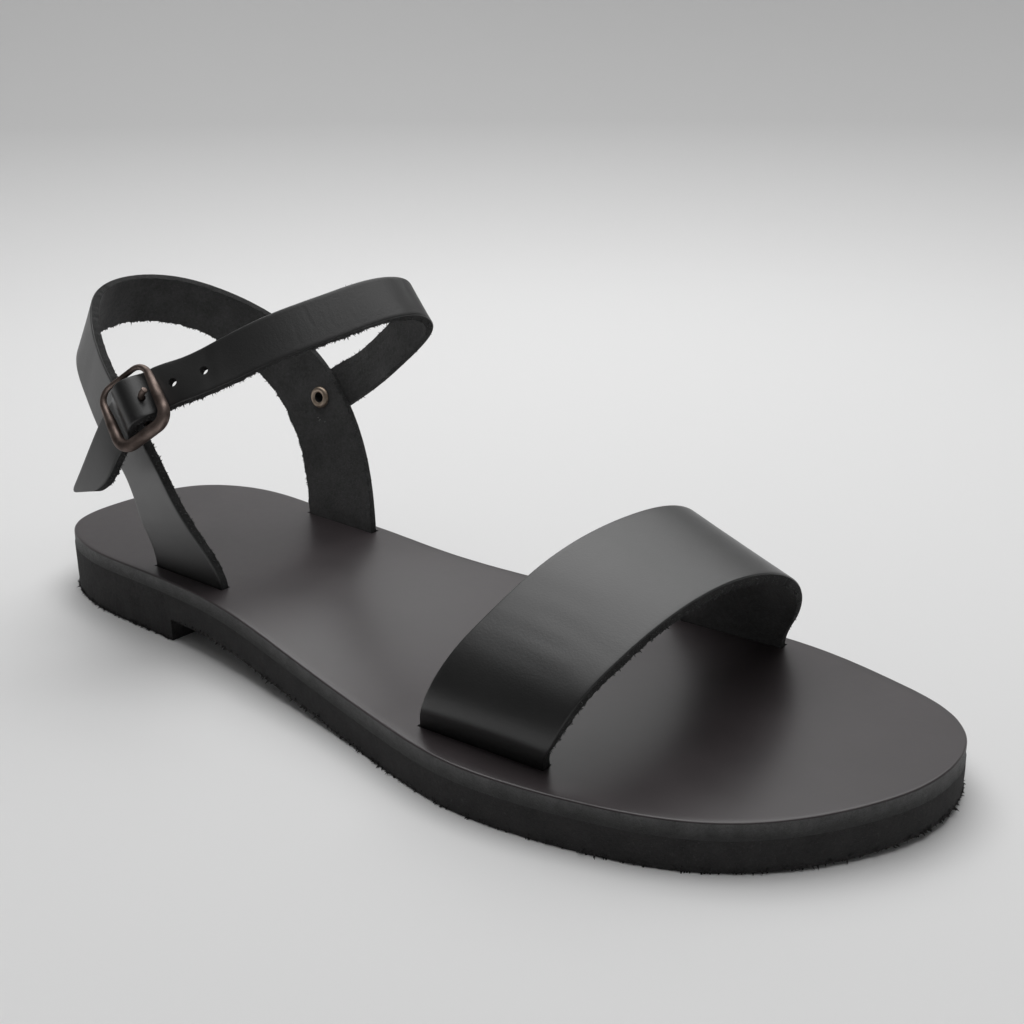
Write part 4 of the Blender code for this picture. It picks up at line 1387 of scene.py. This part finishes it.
def make_floor():
    """A pale floor that sweeps up into a wall all round, with painted shade darkening the wall toward its
    top.
    """
    deselect()
    bpy.ops.mesh.primitive_circle_add(vertices=128, radius=FLOOR_RADIUS, fill_type="NGON")
    floor = bpy.context.object
    floor.name = "floor_sweep"
    leans = [math.radians(degrees) for degrees in range(0, 91, 6)]
    rows = [(FLOOR_RADIUS + SWEEP_RADIUS * math.sin(lean), SWEEP_RADIUS * (1 - math.cos(lean)))
            for lean in leans]
    rows.append((FLOOR_RADIUS + SWEEP_RADIUS, WALL_TOP))
    edit(floor)
    bpy.ops.mesh.select_mode(type="EDGE")
    bpy.ops.mesh.select_all(action="DESELECT")
    bpy.ops.mesh.select_non_manifold()
    for before, after in zip(rows, rows[1:]):
        bpy.ops.mesh.extrude_edges_move(TRANSFORM_OT_translate={"value": (0, 0, after[1] - before[1])})
        grow = after[0] / before[0]
        bpy.ops.transform.resize(value=(grow, grow, 1), center_override=(0, 0, 0))
    bpy.ops.mesh.select_mode(type="VERT")
    leave_edit()
    smooth(floor, 60)
    material, tree, shader, place = new_material("pale_paper_with_painted_shade")
    height = node(tree, "SeparateXYZ", Vector=place).outputs["Z"]
    tone = grey(FLOOR_TONE)
    # Darker bands up the wall are painted shade, not the paper's own tone.
    for low, high, reached in WALL_PAINTED_SHADE:
        tone = blend_colour(tree, spread(tree, height, low, high), tone, grey(reached))
    tree.links.new(tone, shader.inputs["Base Color"])
    set_surface(shader, Roughness=0.9, Specular_IOR_Level=0.1)
    floor.data.materials.append(material)


def make_dark_card():
    """A dark cloth on the outer side that shows only in the leather's and the metal's gloss."""
    deselect()
    bpy.ops.mesh.primitive_plane_add(size=1, location=CARD_PLACE, rotation=(math.radians(90), 0, 0))
    card = bpy.context.object
    card.name = "dark_card"
    card.scale = CARD_SIZE
    bpy.ops.object.transform_apply(location=True, rotation=True, scale=True)
    card.visible_camera = False
    card.visible_shadow = False
    card.visible_diffuse = False
    material, tree, shader, place = new_material("dark_cloth")
    weave = node(tree, "TexNoise", Vector=place, Scale=40.0)
    tone = blend_colour(tree, weave.outputs["Fac"], grey(0.03), grey(0.06))
    tree.links.new(tone, shader.inputs["Base Color"])
    set_surface(shader, Roughness=1.0)
    card.data.materials.append(material)


def soft_light(name, place, aim, size, radiance):
    data = bpy.data.lights.new(name, "AREA")
    data.shape = "RECTANGLE"
    data.size, data.size_y = size
    data.energy = radiance * math.pi * size[0] * size[1]
    lamp = bpy.data.objects.new(name, data)
    lamp.location = place
    lamp.rotation_euler = (Vector(aim) - Vector(place)).to_track_quat("-Z", "Y").to_euler()
    bpy.context.scene.collection.objects.link(lamp)


def make_lights():
    for name, place, aim, size, radiance in LIGHTS:
        soft_light(name, place, aim, size, radiance)
    world = bpy.data.worlds.new("studio")
    world.use_nodes = True
    world.node_tree.nodes["Background"].inputs["Color"].default_value = grey(ROOM_LIGHT)
    bpy.context.scene.world = world
    bpy.context.scene.view_settings.view_transform = "Standard"


def make_camera():
    data = bpy.data.cameras.new("camera")
    data.sensor_width = SENSOR
    data.lens = SENSOR * FOCAL_PIXELS / FRAME_PIXELS
    data.clip_start = 0.01
    turn, pitch = math.radians(CAMERA_AZIMUTH), math.radians(CAMERA_PITCH)
    ahead = Vector((-math.sin(turn) * math.cos(pitch), math.cos(turn) * math.cos(pitch), -math.sin(pitch)))
    right = Vector((math.cos(turn), math.sin(turn), 0.0))
    over = right.cross(ahead)
    roll = math.radians(CAMERA_ROLL)
    right, over = (right * math.cos(roll) + over * math.sin(roll),
                   over * math.cos(roll) - right * math.sin(roll))
    camera = bpy.data.objects.new("camera", data)
    camera.matrix_world = Matrix((right, over, -ahead)).transposed().to_4x4()
    camera.location = to_metres(CAMERA_PLACE)
    bpy.context.scene.collection.objects.link(camera)
    bpy.context.scene.camera = camera


make_camera()
make_lights()
make_floor()
make_dark_card()
make_rubber_layers()
footbed = make_insole()
make_front_strap(footbed)
heel_curve = make_back_strap(footbed)
finish_insole(footbed)
make_ankle_strap(heel_curve)
make_buckle_frame()
make_prong()
make_rivet(heel_curve)
